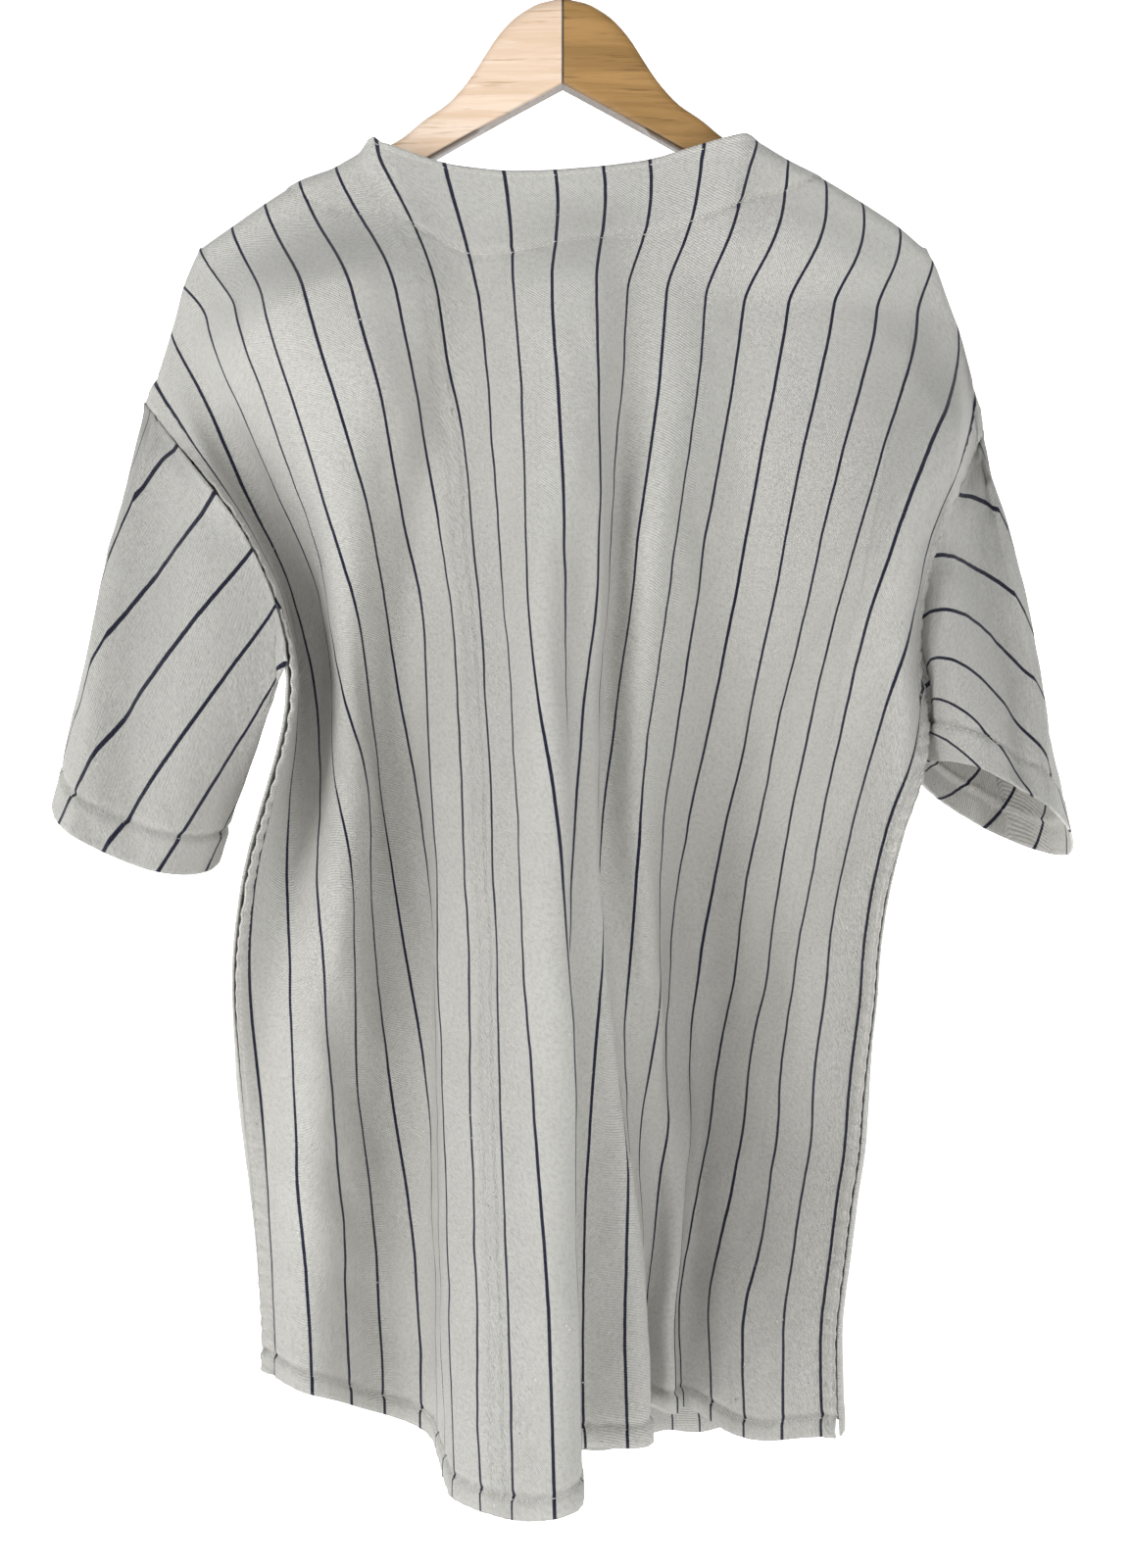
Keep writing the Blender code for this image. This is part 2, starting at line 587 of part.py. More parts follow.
def hook_path():
    """Centre line of the wire: up from the wood, round the rail and back to a tip."""
    radius = HOOK_RADIUS + WIRE_RADIUS
    centre_z = -HOOK_RADIUS
    points = []
    for k in range(19):
        angle = math.radians(205 - k * (205 + 62) / 18)
        points.append((radius * math.cos(angle), 0.0, centre_z + radius * math.sin(angle)))
    x0, _, z0 = points[-1]
    bottom = -0.0707 + SEAM
    for k in range(1, 6):
        t = k / 5
        x = x0 * (1 - t) ** 2
        z = z0 + (bottom + 0.012 - z0) * t
        points.append((x, 0.0, z))
    points.append((0.0, 0.0, bottom + 0.003))
    points.append((0.0, 0.0, bottom))
    return points


def tube_sections(points, radii, sides):
    sections = []
    for k, point in enumerate(points):
        before = np.array(points[max(k - 1, 0)])
        after = np.array(points[min(k + 1, len(points) - 1)])
        along = after - before
        along /= np.linalg.norm(along)
        side = np.array((0.0, 1.0, 0.0))
        other = np.cross(along, side)
        ring = []
        for m in range(sides):
            a = 2 * math.pi * m / sides
            ring.append(tuple(np.array(point) + radii[k] * (math.cos(a) * side + math.sin(a) * other)))
        sections.append(ring)
    return sections


# ---------------------------------------------------------------- build

FACING_ROWS = (0.2, 1.0, 2.0, 3.0, 3.95)    # rows of the back that the facing follows
FACING_SPAN = (-5.4, 5.9)               # inches across, between its shoulder ends


def clear_scene():
    for old in list(bpy.data.objects):
        bpy.data.objects.remove(old, do_unlink=True)


def moved_out(grid, normals, distance):
    return grid + normals * distance


def build():
    clear_scene()
    cotton = material("off-white cotton knit", (0.66, 0.65, 0.61), 0.9)
    facing_cotton = material("off-white cotton facing", (0.62, 0.61, 0.57), 0.9)
    beech = material("varnished beech", (0.50, 0.30, 0.13), 0.35)
    steel = material("bright steel wire", (0.62, 0.63, 0.65), 0.28, 1.0)
    shellwhite = material("off-white button", (0.74, 0.72, 0.66), 0.35)

    back = back_grid()
    back_normal = grid_normals(back)
    shell("back", back, CLOTH, cotton)

    fronts = {}
    for side, name in ((-1, "front_left"), (1, "front_right")):
        fronts[side] = clear_of_back(front_grid(side, back, back_normal), back, 0.008)

    shell("front_left", fronts[-1], CLOTH, cotton)
    shell("front_right", fronts[1], CLOTH, cotton)

    # placket: a strip on the outside of the left front, along its edge
    left = fronts[-1]
    outward = grid_normals(left)
    outward = np.where(outward[..., 1:2] > 0, outward, -outward)
    strip = moved_out(left, outward, CLOTH + SEAM)[2:, -4:]
    shell("front_placket", strip, CLOTH, cotton)

    # buttons lie on the placket
    middle = moved_out(left, outward, 1.5 * CLOTH + 2 * SEAM + 0.0011)
    for k in range(BUTTON_COUNT):
        row = 4.5 + k * (len(BACK_ROWS) - 7.5) / (BUTTON_COUNT - 1)
        low = int(row)
        part = row - low
        place = (1 - part) * 0.5 * (middle[low, -2] + middle[low, -3]) + part * 0.5 * (middle[low + 1, -2] + middle[low + 1, -3])
        axis = (1 - part) * outward[low, -2] + part * outward[low + 1, -2]
        axis /= np.linalg.norm(axis)
        side_axis = np.cross((0.0, 0.0, 1.0), axis)
        side_axis /= np.linalg.norm(side_axis)
        up_axis = np.cross(axis, side_axis)
        sections = []
        for radius, height in ((0.80, -0.0009), (1.0, -0.0003), (1.0, 0.0006), (0.86, 0.0012), (0.62, 0.0008)):
            ring = []
            for m in range(12):
                a = 2 * math.pi * m / 12
                ring.append(tuple(place + axis * (height + (0.0006 if k == 0 else 0.0002))
                                  + BUTTON_RADIUS * radius * (math.cos(a) * side_axis + math.sin(a) * up_axis)))
            sections.append(ring)
        loft("button_%d" % (k + 1), sections, shellwhite)

    for side, name in ((-1, "sleeve_left"), (1, "sleeve_right")):
        tube = sleeve_grid(side, back, fronts[side], 11)
        shell(name, tube, CLOTH, cotton, wrap=True)

    # facing: a curved strip inside the back neck, made from the back's own points
    inside = np.where((back_normal[..., 1:2] - back_normal[..., 2:3]) > 0, back_normal, -back_normal)
    inner = moved_out(back, inside, 0.5 * CLOTH + SEAM + 0.5 * FACING + 0.0005)
    reach_rows = len(FACING_ROWS)
    low, high = FACING_SPAN
    chosen = [i for i, c in enumerate(BACK_COLUMNS) if low <= c * ARMHOLE_WIDTH <= high]
    strip = np.zeros((reach_rows, len(chosen), 3))
    for i, k in enumerate(chosen):
        u = BACK_COLUMNS[k] * ARMHOLE_WIDTH
        edge = min(1.0, (u - low + 0.15) / 1.5, (high - u + 0.15) / 1.8)
        length = 0.35 + 0.65 * math.sqrt(max(0.0, 1.0 - (1.0 - edge) ** 2))
        for j, row in enumerate(FACING_ROWS):
            at = 0.15 + (row - 0.15) * length
            first = int(at)
            part = at - first
            strip[j, i] = inner[first, k] * (1.0 - part) + inner[first + 1, k] * part
    shell("back_neck_facing", strip, FACING, facing_cotton)

    for side, name in ((-1, "hanger_arm_left"), (1, "hanger_arm_right")):
        loft(name, arm_sections(side), beech)

    path = hook_path()
    radii = [WIRE_RADIUS] * len(path)
    radii[0] = 0.0013
    radii[-2] = radii[-1] = 0.0052
    path.insert(-2, (path[-2][0], 0.0, path[-2][2] + 0.0004))
    radii.insert(-2, WIRE_RADIUS)
    loft("hanger_hook", tube_sections(path, radii, 8), steel)


build()
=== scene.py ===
# %% [markdown]
# # Pinstriped baseball jersey on a wooden hanger
# The jersey is seen from its back. Every panel is a thin shell worked out from the
# same tables of folds as the solids, on a finer grid, with its own stripes, hems,
# seams and stitches. Metres, +Z up, the back of the jersey faces -Y.

# %% [markdown]
# ## The frame
# The imported solids are loaded first. Every piece below is placed in their frame.

# %% Imports and frame
import math
import random

import bpy
import numpy as np
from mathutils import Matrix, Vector


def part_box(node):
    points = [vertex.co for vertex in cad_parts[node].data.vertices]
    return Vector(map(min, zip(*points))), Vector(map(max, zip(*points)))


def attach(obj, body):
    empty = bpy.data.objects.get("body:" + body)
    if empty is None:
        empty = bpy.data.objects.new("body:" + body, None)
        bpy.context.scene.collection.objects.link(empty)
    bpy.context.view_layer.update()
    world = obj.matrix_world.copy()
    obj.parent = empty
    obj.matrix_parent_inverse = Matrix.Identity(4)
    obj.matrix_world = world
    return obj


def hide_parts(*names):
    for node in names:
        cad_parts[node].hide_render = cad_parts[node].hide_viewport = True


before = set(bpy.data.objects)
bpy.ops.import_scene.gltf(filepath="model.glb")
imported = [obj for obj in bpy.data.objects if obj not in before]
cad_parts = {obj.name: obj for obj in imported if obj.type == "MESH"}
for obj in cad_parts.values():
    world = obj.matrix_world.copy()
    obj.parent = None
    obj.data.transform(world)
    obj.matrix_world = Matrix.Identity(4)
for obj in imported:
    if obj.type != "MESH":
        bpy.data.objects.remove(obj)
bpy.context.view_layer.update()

# %% [markdown]
# ## Sizes
# The pinstripes are one inch apart, so places across the cloth are given in inches from its middle.

# %% Sizes
INCH = 0.0254
CLOTH = 0.0013          # thickness of the knit
HALF_WIDTH = 12.4       # inches from centre back to a side seam
ARMHOLE_WIDTH = 11.4    # inches from centre back to the top of an armhole
NECK_LEFT, NECK_RIGHT = -3.5, 4.2
ARMPIT = 0.27
SHOULDER_ROUND = 0.0108
RIDGE_GAP = 0.0006
STRIPE = 0.0018         # width of a pinstripe
HOOK_RADIUS = 0.0240
WIRE_RADIUS = 0.0019
random.seed(7)

# %% [markdown]
# ## Folds as tables
# Hanging cloth turns back and forth along each level. Each row is one side of a fold: where it is, how
# wide it is and how far it leans, at five heights. A simulation could find folds, but a table puts
# them where the photograph has them.

# %% Fold tables
STATIONS = (-0.245, -0.407, -0.488, -0.570, -0.790)
FLANKS = (
    # name            centre                              width                      lean
    ("left_pit",    (-11.6, -11.1, -11.4, -11.9, -12.6), (2.2, 3.0, 2.8, 1.8, 1.0), (-66, -90, -92, -66, 0)),
    ("left_hump",   (-8.2, -8.4, -9.1, -10.3, -11.8),    (3.4, 2.4, 2.3, 1.9, 1.6), (46, 74, 76, 42, 50)),
    ("left_dark",   (-3.4, -6.3, -7.4, -8.4, -10.1),     (2.2, 1.8, 2.0, 2.6, 2.8), (-26, -58, -62, -64, -42)),
    ("left_steep",  (-4.0, -5.4, -5.5, -5.5, -6.4),      (1.0, 1.0, 1.1, 1.1, 2.9), (0, 10, 50, 72, 75)),
    ("left_rise",   (-0.8, -2.6, -2.9, -3.0, -3.3),      (2.0, 5.2, 4.2, 3.7, 3.4), (30, 48, 50, 54, 46)),
    ("main_fall",   (0.6, 0.0, 0.0, 0.0, 0.1),           (1.0, 1.2, 1.6, 2.3, 3.8), (0, -62, -92, -96, -96)),
    ("crease_fall", (1.6, 1.6, 2.0, 2.5, 4.6),           (1.2, 1.3, 1.6, 1.9, 2.6), (-40, -80, -82, -86, -93)),
    ("crest_rise",  (0.9, 0.9, 0.9, 1.3, 2.7),           (0.8, 0.8, 0.8, 0.8, 1.5), (0, 0, 0, 20, 36)),
    ("mid_rise",    (2.6, 2.8, 3.2, 3.6, 4.6),           (1.0, 1.0, 0.9, 1.0, 1.0), (-12, 56, 60, 64, 0)),
    ("mid_fall",    (4.0, 4.7, 4.9, 5.3, 7.5),           (1.8, 2.8, 2.6, 2.9, 1.3), (-22, -48, -58, -74, -90)),
    ("low_rise",    (6.3, 6.3, 6.3, 6.3, 6.4),           (0.9, 0.9, 0.9, 0.9, 0.9), (0, 0, 0, 0, 58)),
    ("right_rise",  (7.3, 8.6, 9.2, 9.7, 10.4),          (4.8, 4.4, 6.0, 6.6, 5.0), (-16, 50, 54, 59, 49)),
    ("right_edge",  (10.6, 11.3, 12.2, 12.9, 12.9),      (0.8, 2.0, 1.4, 0.6, 0.6), (-50, -91, -91, 0, 0)),
)
ANCHOR_U = -2.0
ANCHOR = (
    # z       x        reach
    (-0.165, -0.0625, 0.013),
    (-0.245, -0.0475, 0.024),
    (-0.300, -0.0405, 0.032),
    (-0.407, -0.0310, 0.050),
    (-0.515, -0.0260, 0.068),
    (-0.570, -0.0235, 0.075),
    (-0.680, -0.0160, 0.082),
    (-0.790, -0.0085, 0.085),
    (-0.910, -0.0050, 0.085),
)
TOP_EDGE = (
    # u       x        z
    (-11.4, -0.2475, -0.2900),
    (-11.0, -0.2400, -0.2760),
    (-10.0, -0.2300, -0.2480),
    (-9.0, -0.2230, -0.2220),
    (-8.0, -0.2130, -0.2020),
    (-7.0, -0.1920, -0.1905),
    (-6.0, -0.1720, -0.1790),
    (-5.0, -0.1510, -0.1680),
    (-4.0, -0.1290, -0.1625),
    (-3.1, -0.1080, -0.1535),
    (-2.0, -0.0660, -0.1680),
    (-1.0, -0.0325, -0.1730),
    (0.0, -0.0040, -0.1735),
    (1.0, 0.0225, -0.1715),
    (2.0, 0.0480, -0.1665),
    (3.0, 0.0790, -0.1560),
    (3.9, 0.1080, -0.1475),
    (5.0, 0.1280, -0.1582),
    (6.0, 0.1500, -0.1670),
    (7.0, 0.1720, -0.1780),
    (8.0, 0.1950, -0.1900),
    (9.0, 0.2170, -0.2060),
    (10.0, 0.2310, -0.2420),
    (11.0, 0.2420, -0.2770),
    (11.4, 0.2490, -0.3090),
)
# How far the cloth is drawn sideways, in millimetres: height, then columns by U.
DRAW_AT = (-12.0, -10.0, -8.0, -6.0, -3.0, 0.0, 2.0, 4.0, 6.0, 8.0, 10.0, 11.5)
DRAW = (
    # z      -12 -10  -8  -6  -3    0    2    4    6    8   10  11.5
    (-0.170, (0, 0, 0, 0, 0, 0, 0, 0, 0, 0, 0, 0)),
    (-0.245, (0, 0, 0, 5, 4, -3, -6, -10, -9, -6, -2, 0)),
    (-0.300, (0, 4, 5, 8, 3, -4, -11, -18, -20, -24, -32, -6)),
    (-0.353, (8, 8, 10, 9, 2, -6, -12, -20, -20, -25, -34, -20)),
    (-0.407, (15, 16, 10, 8, 2, -9, -11, -20, -15, -18, -20, -20)),
    (-0.461, (24, 20, 11, 2, 4, -8, -6, -11, -6, -9, -7, -6)),
    (-0.515, (24, 22, 12, 1, 4, 0, 1, -5, 1, -1, 3, 3)),
    (-0.569, (21, 20, 9, 0, 3, 1, 2, -2, 0, 2, 6, 5)),
    (-0.623, (15, 14, 6, 0, 2, 0, -1, -2, -8, -5, -5, -1)),
    (-0.677, (15, 12, 6, 0, 1, 0, -2, -5, -14, -20, -18, -12)),
    (-0.731, (11, 10, 4, 0, 2, 0, 0, -4, -8, -19, -14, -13)),
    (-0.785, (8, 7, 3, 0, 2, 0, 0, 0, 0, -11, -6, -3)),
    (-0.839, (9, 8, 3, 0, 2, 0, 0, 0, -5, -14, -16, -6)),
)
HEM_EDGE = (
    # u      z
    (-12.4, -0.851), (-11.0, -0.861), (-9.0, -0.884), (-7.0, -0.900), (-5.0, -0.908), (-3.0, -0.905),
    (-1.5, -0.895), (3.0, -0.893), (6.0, -0.888), (8.0, -0.893), (10.0, -0.907), (12.4, -0.886),
)
ARM = (
    # x      top      bottom   sweep
    (0.000, -0.0700, -0.1198, 0.0000),
    (0.015, -0.0730, -0.1278, 0.0001),
    (0.028, -0.0810, -0.1346, 0.0005),
    (0.038, -0.0920, -0.1400, 0.0012),
    (0.046, -0.1050, -0.1442, 0.0018),
    (0.054, -0.1170, -0.1484, 0.0025),
    (0.065, -0.1290, -0.1543, 0.0037),
    (0.080, -0.1380, -0.1622, 0.0056),
    (0.090, -0.1465, -0.1675, 0.0071),
    (0.100, -0.1515, -0.1728, 0.0088),
    (0.130, -0.1665, -0.1880, 0.0148),
    (0.150, -0.1745, -0.1955, 0.0197),
    (0.170, -0.1840, -0.2040, 0.0253),
    (0.190, -0.1940, -0.2120, 0.0316),
    (0.204, -0.2010, -0.2160, 0.0364),
    (0.208, -0.2050, -0.2130, 0.0379),
)

# %% Small maths


def smooth(t):
    """Ease from 0 to 1: three t squared less two t cubed, with t held between 0 and 1."""
    t = np.clip(t, 0.0, 1.0)
    return t * t * (3.0 - 2.0 * t)


def column(table, key, value, at):
    """Straight-line reading of one column of a table against another."""
    rows = np.array(table, dtype=float)
    order = np.argsort(rows[:, key])
    return np.interp(at, rows[order, key], rows[order, value])


def soft_column(table, key, value, at, span):
    """The same, averaged over nine places within a span, so that it has no corners."""
    shifts = np.linspace(-span, span, 9)
    return np.mean([column(table, key, value, at + s) for s in shifts], axis=0)


def at_station(values, z):
    """A fold's value at a height, averaged over 90 mm so that no fold has a kink."""
    shifts = (-0.045, -0.030, -0.015, 0.0, 0.015, 0.030, 0.045)
    return np.mean([np.interp(-z + d, [-s for s in STATIONS], values) for d in shifts], axis=0)


def arm_top(x):
    """Height of the top of a hanger arm at a distance from the joint."""
    return soft_column(ARM, 0, 1, np.abs(x), 0.004)


def arm_bottom(x):
    """Height of the underside of a hanger arm at a distance from the joint."""
    return column(ARM, 0, 2, np.abs(x))


def arm_sweep(x):
    """How far an arm curves away from the camera: grows with the square of the distance."""
    return 0.0379 * (np.minimum(np.abs(x), 0.26) / 0.208) ** 2


def wave(seed, x, y, size):
    """Soft repeatable noise between -1 and 1 over a plane, with features of about that size."""
    made = np.random.default_rng(seed)
    total = 0.0
    for _ in range(9):
        way = made.uniform(0, 2 * math.pi)
        turn = made.uniform(0.7, 1.5) * 2 * math.pi / size
        total = total + np.sin(turn * (x * math.cos(way) + y * math.sin(way)) + made.uniform(0, 6.28))
    return total / 5.0


# %% [markdown]
# ## From leans to a surface
# Cloth keeps its width when it folds. So X and reach are summed along each level from the lean, and
# stored once on a lattice, because every panel reads them.

# %% Lattice of level sections
LEVELS = np.linspace(-0.130, -0.950, 411)
ACROSS = np.linspace(-HALF_WIDTH, HALF_WIDTH, 621)


def make_lattice():
    """Level sections: the running sums of the cosine and sine of the cloth's lean give X and reach."""
    z = LEVELS[:, None]
    total = np.zeros((len(LEVELS), len(ACROSS)))
    for _, centre, width, angle in FLANKS:
        c, w, a = (at_station(v, LEVELS)[:, None] for v in (centre, width, angle))
        total += a / (1.0 + ((ACROSS[None] - c) / (0.5 * w)) ** 6)
    turn = np.radians(np.clip(total, -100, 100)) * (1.0 - 0.75 * smooth((z + 0.245) / 0.060))
    step = ACROSS[1] - ACROSS[0]
    found = []
    for part, value in ((np.cos(turn), 1), (np.sin(turn), 2)):
        run = np.cumsum(0.5 * (part[:, 1:] + part[:, :-1]) * step, axis=1)
        run = np.concatenate([np.zeros((len(LEVELS), 1)), run], axis=1)
        start = [np.interp(ANCHOR_U, ACROSS, row) for row in run]
        found.append((run - np.array(start)[:, None]) * INCH + column(ANCHOR, 0, value, LEVELS)[:, None])
    drawn = np.zeros_like(total)
    heights = [-row[0] for row in DRAW]
    for shift in (-0.9, -0.45, 0.0, 0.45, 0.9):
        at = np.array([np.interp(ACROSS + shift, DRAW_AT, row[1]) for row in DRAW])
        for d in (-0.024, -0.012, 0.0, 0.012, 0.024):
            rows = np.interp(-LEVELS + d, heights, np.arange(len(heights)))
            low = np.minimum(rows.astype(int), len(heights) - 2)
            part = (rows - low)[:, None]
            drawn += (at[low] * (1 - part) + at[low + 1] * part) * 0.001 / 25.0
    return found[0], found[1], drawn


LATTICE_X, LATTICE_REACH, LATTICE_DRAW = make_lattice()


def sample(lattice, u, z):
    """Reading of a lattice between its rows and columns, weighted by nearness."""
    row = np.clip((z - LEVELS[0]) / (LEVELS[1] - LEVELS[0]), 0, len(LEVELS) - 1.001)
    col = np.clip((u - ACROSS[0]) / (ACROSS[1] - ACROSS[0]), 0, len(ACROSS) - 1.001)
    j, i = row.astype(int), col.astype(int)
    a, b = row - j, col - i
    return ((lattice[j, i] * (1 - b) + lattice[j, i + 1] * b) * (1 - a)
            + (lattice[j + 1, i] * (1 - b) + lattice[j + 1, i + 1] * b) * a)


# %% [markdown]
# ## The back
# One piece of knit from the neck and shoulders to a drop-tail hem. The shell follows the folds, and
# creases, the turned hem, the seams and the facing's stitch line are pressed into it.

# %% Back panel


def half_width(s):
    """Half width in inches: from the armhole's to the side seam's, with the square of the share."""
    t = np.clip(s / ARMPIT, 0.0, 1.0)
    return ARMHOLE_WIDTH + (HALF_WIDTH - ARMHOLE_WIDTH) * t ** 2


def on_arm(u):
    """1 over a shoulder and 0 at the open neckline, eased over 0.6 inch."""
    return smooth(np.maximum((u - NECK_RIGHT) / 0.6 + 1.0, (NECK_LEFT - u) / 0.6 + 1.0))


def arm_room(x, z):
    """Least distance from the middle of an arm, and none below or beyond the arm."""
    above = z - arm_top(x)
    need = np.interp(-above, (-0.0040, -0.0026, 0.0011, 0.0068), (0.0006, 0.0056, 0.0093, 0.0108))
    beside = smooth((z - arm_bottom(x) + 0.030) / 0.022) * smooth((0.222 - np.abs(x)) / 0.010)
    return need * beside - 0.25 * (1.0 - beside)


def top_edge(u):
    """Neckline and shoulder line, lifted to clear the top of the arm by 4 mm."""
    x = soft_column(TOP_EDGE, 0, 1, u, 0.25)
    z = soft_column(TOP_EDGE, 0, 2, u, 0.25)
    lift = np.maximum(0.0, arm_top(x) + 0.0040 - z) * smooth(on_arm(u) * 4.0)
    return x, z + lift * (np.abs(x) < 0.214)


def back_points(u, p, s):
    """Points of the back: p metres below the top edge, then share s to the hem."""
    top_x, top_z = top_edge(u)
    over = on_arm(u)
    turn = np.minimum(p / SHOULDER_ROUND, 0.5 * math.pi)
    hem_z = soft_column(HEM_EDGE, 0, 1, u, 0.8)
    start_z = top_z - (over * SHOULDER_ROUND * (1.0 - np.cos(turn)) + (1.0 - over) * p)
    z = start_z + s * (hem_z - start_z)
    down = top_z - z
    near_top = np.exp(-(np.maximum(down, 0) / 0.040) ** 1.6)
    x = sample(LATTICE_X, u, z) + (top_x - sample(LATTICE_X, u, top_z)) * near_top
    x = x + sample(LATTICE_DRAW, u, z) * (1.0 - near_top)
    reach = sample(LATTICE_REACH, u, z)
    ridge = -arm_sweep(x)
    room = ridge + arm_room(x, z)
    free = np.maximum(reach, room)
    shoulder = ridge + RIDGE_GAP + (SHOULDER_ROUND - RIDGE_GAP) * np.sin(turn)
    settle = smooth((down - 0.012) / 0.060)
    rolled = shoulder * (1.0 - settle) + free * settle
    reach = np.maximum(over * rolled + (1.0 - over) * free, room)
    return np.stack([x, -reach, z], axis=-1)


# Creases of the back: soft troughs (-) and ridges (+).
CREASES = (
    # u0    z0      u1     z1     width  depth
    (4.6, -0.36, 7.2, -0.52, 0.55, -0.0016),
    (5.9, -0.42, 8.6, -0.60, 0.70, 0.0018),
    (7.4, -0.50, 9.8, -0.66, 0.60, -0.0015),
    (-3.2, -0.30, -2.2, -0.47, 0.60, -0.0014),
    (-4.6, -0.27, -3.6, -0.42, 0.80, 0.0015),
    (-9.6, -0.24, -10.2, -0.36, 0.45, -0.0024),
    (-8.6, -0.24, -9.4, -0.38, 0.55, 0.0018),
    (-10.6, -0.62, -8.2, -0.74, 0.70, -0.0020),
    (-11.4, -0.74, -9.3, -0.79, 0.60, 0.0017),
    (-9.9, -0.78, -8.0, -0.85, 0.60, -0.0014),
    (-7.0, -0.45, -6.4, -0.60, 0.40, -0.0016),
    (-1.6, -0.50, -1.0, -0.72, 0.50, 0.0012),
    (-0.6, -0.24, 0.5, -0.38, 0.60, 0.0012),
    (3.4, -0.26, 3.0, -0.40, 0.60, 0.0014),
    (8.6, -0.26, 9.6, -0.38, 0.80, -0.0016),
    (9.8, -0.32, 10.2, -0.50, 0.50, 0.0016),
    (5.2, -0.66, 6.0, -0.83, 0.45, 0.0016),
    (8.2, -0.70, 9.4, -0.86, 0.60, 0.0018),
    (9.8, -0.76, 10.9, -0.88, 0.55, -0.0016),
    (1.2, -0.62, 2.2, -0.84, 0.40, 0.0013),
)


def crease_relief(u, z, table, seed):
    """Soft noise plus, for each crease, a bell-shaped trough or ridge along a short line."""
    total = 0.0009 * wave(seed, u * INCH, z, 0.070) + 0.00032 * wave(seed + 1, u * INCH, z, 0.026)
    for k, (u0, z0, u1, z1, width, depth) in enumerate(table):
        a = np.array([u1 - u0, (z1 - z0) / INCH])
        long = float(np.hypot(*a))
        du, dz = u - u0, (z - z0) / INCH
        along = (du * a[0] + dz * a[1]) / long ** 2
        off = (du * a[1] - dz * a[0]) / long + 0.25 * np.sin(along * 3.0 + k)
        fade = smooth((along + 0.25) / 0.4) * smooth((1.25 - along) / 0.45)
        total = total + 1.7 * depth * fade * np.exp(-(off / width) ** 2)
    return total


def grid_normals(grid, wrap=False):
    """Cross product of the steps across and down the grid, brought to unit length."""
    if wrap:
        across = np.roll(grid, -1, axis=1) - np.roll(grid, 1, axis=1)
    else:
        across = np.gradient(grid, axis=1)
    down = np.gradient(grid, axis=0)
    normal = np.cross(across, down)
    return normal / np.maximum(np.linalg.norm(normal, axis=2, keepdims=True), 1e-9)


def path_length(grid, axis):
    """Distance along the cloth from the first row or column."""
    step = np.linalg.norm(np.diff(grid, axis=axis), axis=2)
    first = np.zeros_like(np.take(step, [0], axis=axis))
    return np.concatenate([first, np.cumsum(step, axis=axis)], axis=axis)


TOP_ROLL = 0.0157
rows_p = np.concatenate([np.linspace(0, TOP_ROLL, 9), np.full(232, TOP_ROLL)])
rows_s = np.concatenate([np.zeros(9), np.linspace(0, 1, 233)[1:]])
PIT_ROW = int(np.argmin(np.abs(rows_s - ARMPIT)))
columns = np.linspace(-1.0, 1.0, 203)
back_u = half_width(rows_s)[:, None] * columns[None]
back = back_points(back_u, rows_p[:, None] + 0 * back_u, rows_s[:, None] + 0 * back_u)
back_in = grid_normals(back)
back_plain = back.copy()
down_back = path_length(back, 0)
to_hem = down_back[-1:] - down_back
to_side = (half_width(rows_s)[:, None] - np.abs(back_u)) * INCH
relief = crease_relief(back_u, back[..., 2], CREASES, 3)
fade = smooth(down_back / 0.05) * smooth((to_side - 0.002) / 0.02)
# turned hem, neck seam and the doubled cloth beside the armholes and side seams
hem_band = smooth((0.0115 - to_hem) / 0.0014)
hem_line = np.exp(-((to_hem - 0.0118) / 0.0016) ** 2)
across_m = back_u * INCH
pucker = 0.5 + 0.5 * np.sin(across_m * 2 * math.pi / 0.0085 + 2.2 * wave(5, across_m, 0 * back_u, 0.03))
edge_y = back[..., 2] * 2 * math.pi / 0.0095
side_pucker = 0.5 + 0.5 * np.sin(edge_y + 2.5 * wave(6, back[..., 2], 0 * back_u, 0.035))
seam_band = smooth((0.0095 - to_side) / 0.0012) * (down_back > 0.004)
seam_line = np.exp(-((to_side - 0.0100) / 0.0013) ** 2)
neck_open = 1.0 - on_arm(back_u)
neck_line = np.exp(-((down_back - 0.0032) / 0.0009) ** 2) * neck_open
FACING_DROP = (
    # u     depth of the facing's lower edge below the top edge
    (-5.35, 0.004), (-4.9, 0.022), (-4.2, 0.038), (-3.2, 0.054), (-2.2, 0.055), (-1.0, 0.0505),
    (0.0, 0.0480), (1.0, 0.0470), (2.0, 0.0455), (3.0, 0.0460), (4.0, 0.0440), (5.0, 0.0260), (5.9, 0.004),
)
facing_drop = soft_column(FACING_DROP, 0, 1, back_u, 0.2)
facing_inside = (back_u > -5.35) & (back_u < 5.9)
facing_line = np.exp(-((down_back - facing_drop) / 0.0013) ** 2) * facing_inside
facing_pad = smooth((facing_drop - down_back) / 0.0016) * facing_inside
relief = relief * fade
relief = relief + hem_band * (0.0008 + 0.0007 * pucker) - hem_line * (0.0008 + 0.0009 * pucker)
relief = relief + seam_band * (0.0007 + 0.0011 * side_pucker) - seam_line * 0.0014
relief = relief + 0.0007 * facing_pad - 0.0017 * facing_line - 0.0008 * neck_line
back = back_plain - back_in * relief[..., None]

# %% [markdown]
# ## The fronts
# Two panels meet under a placket. They start at the back's side seams and hang nearly flat, with a
# few shallow pleats, since the photograph shows only slivers of them.

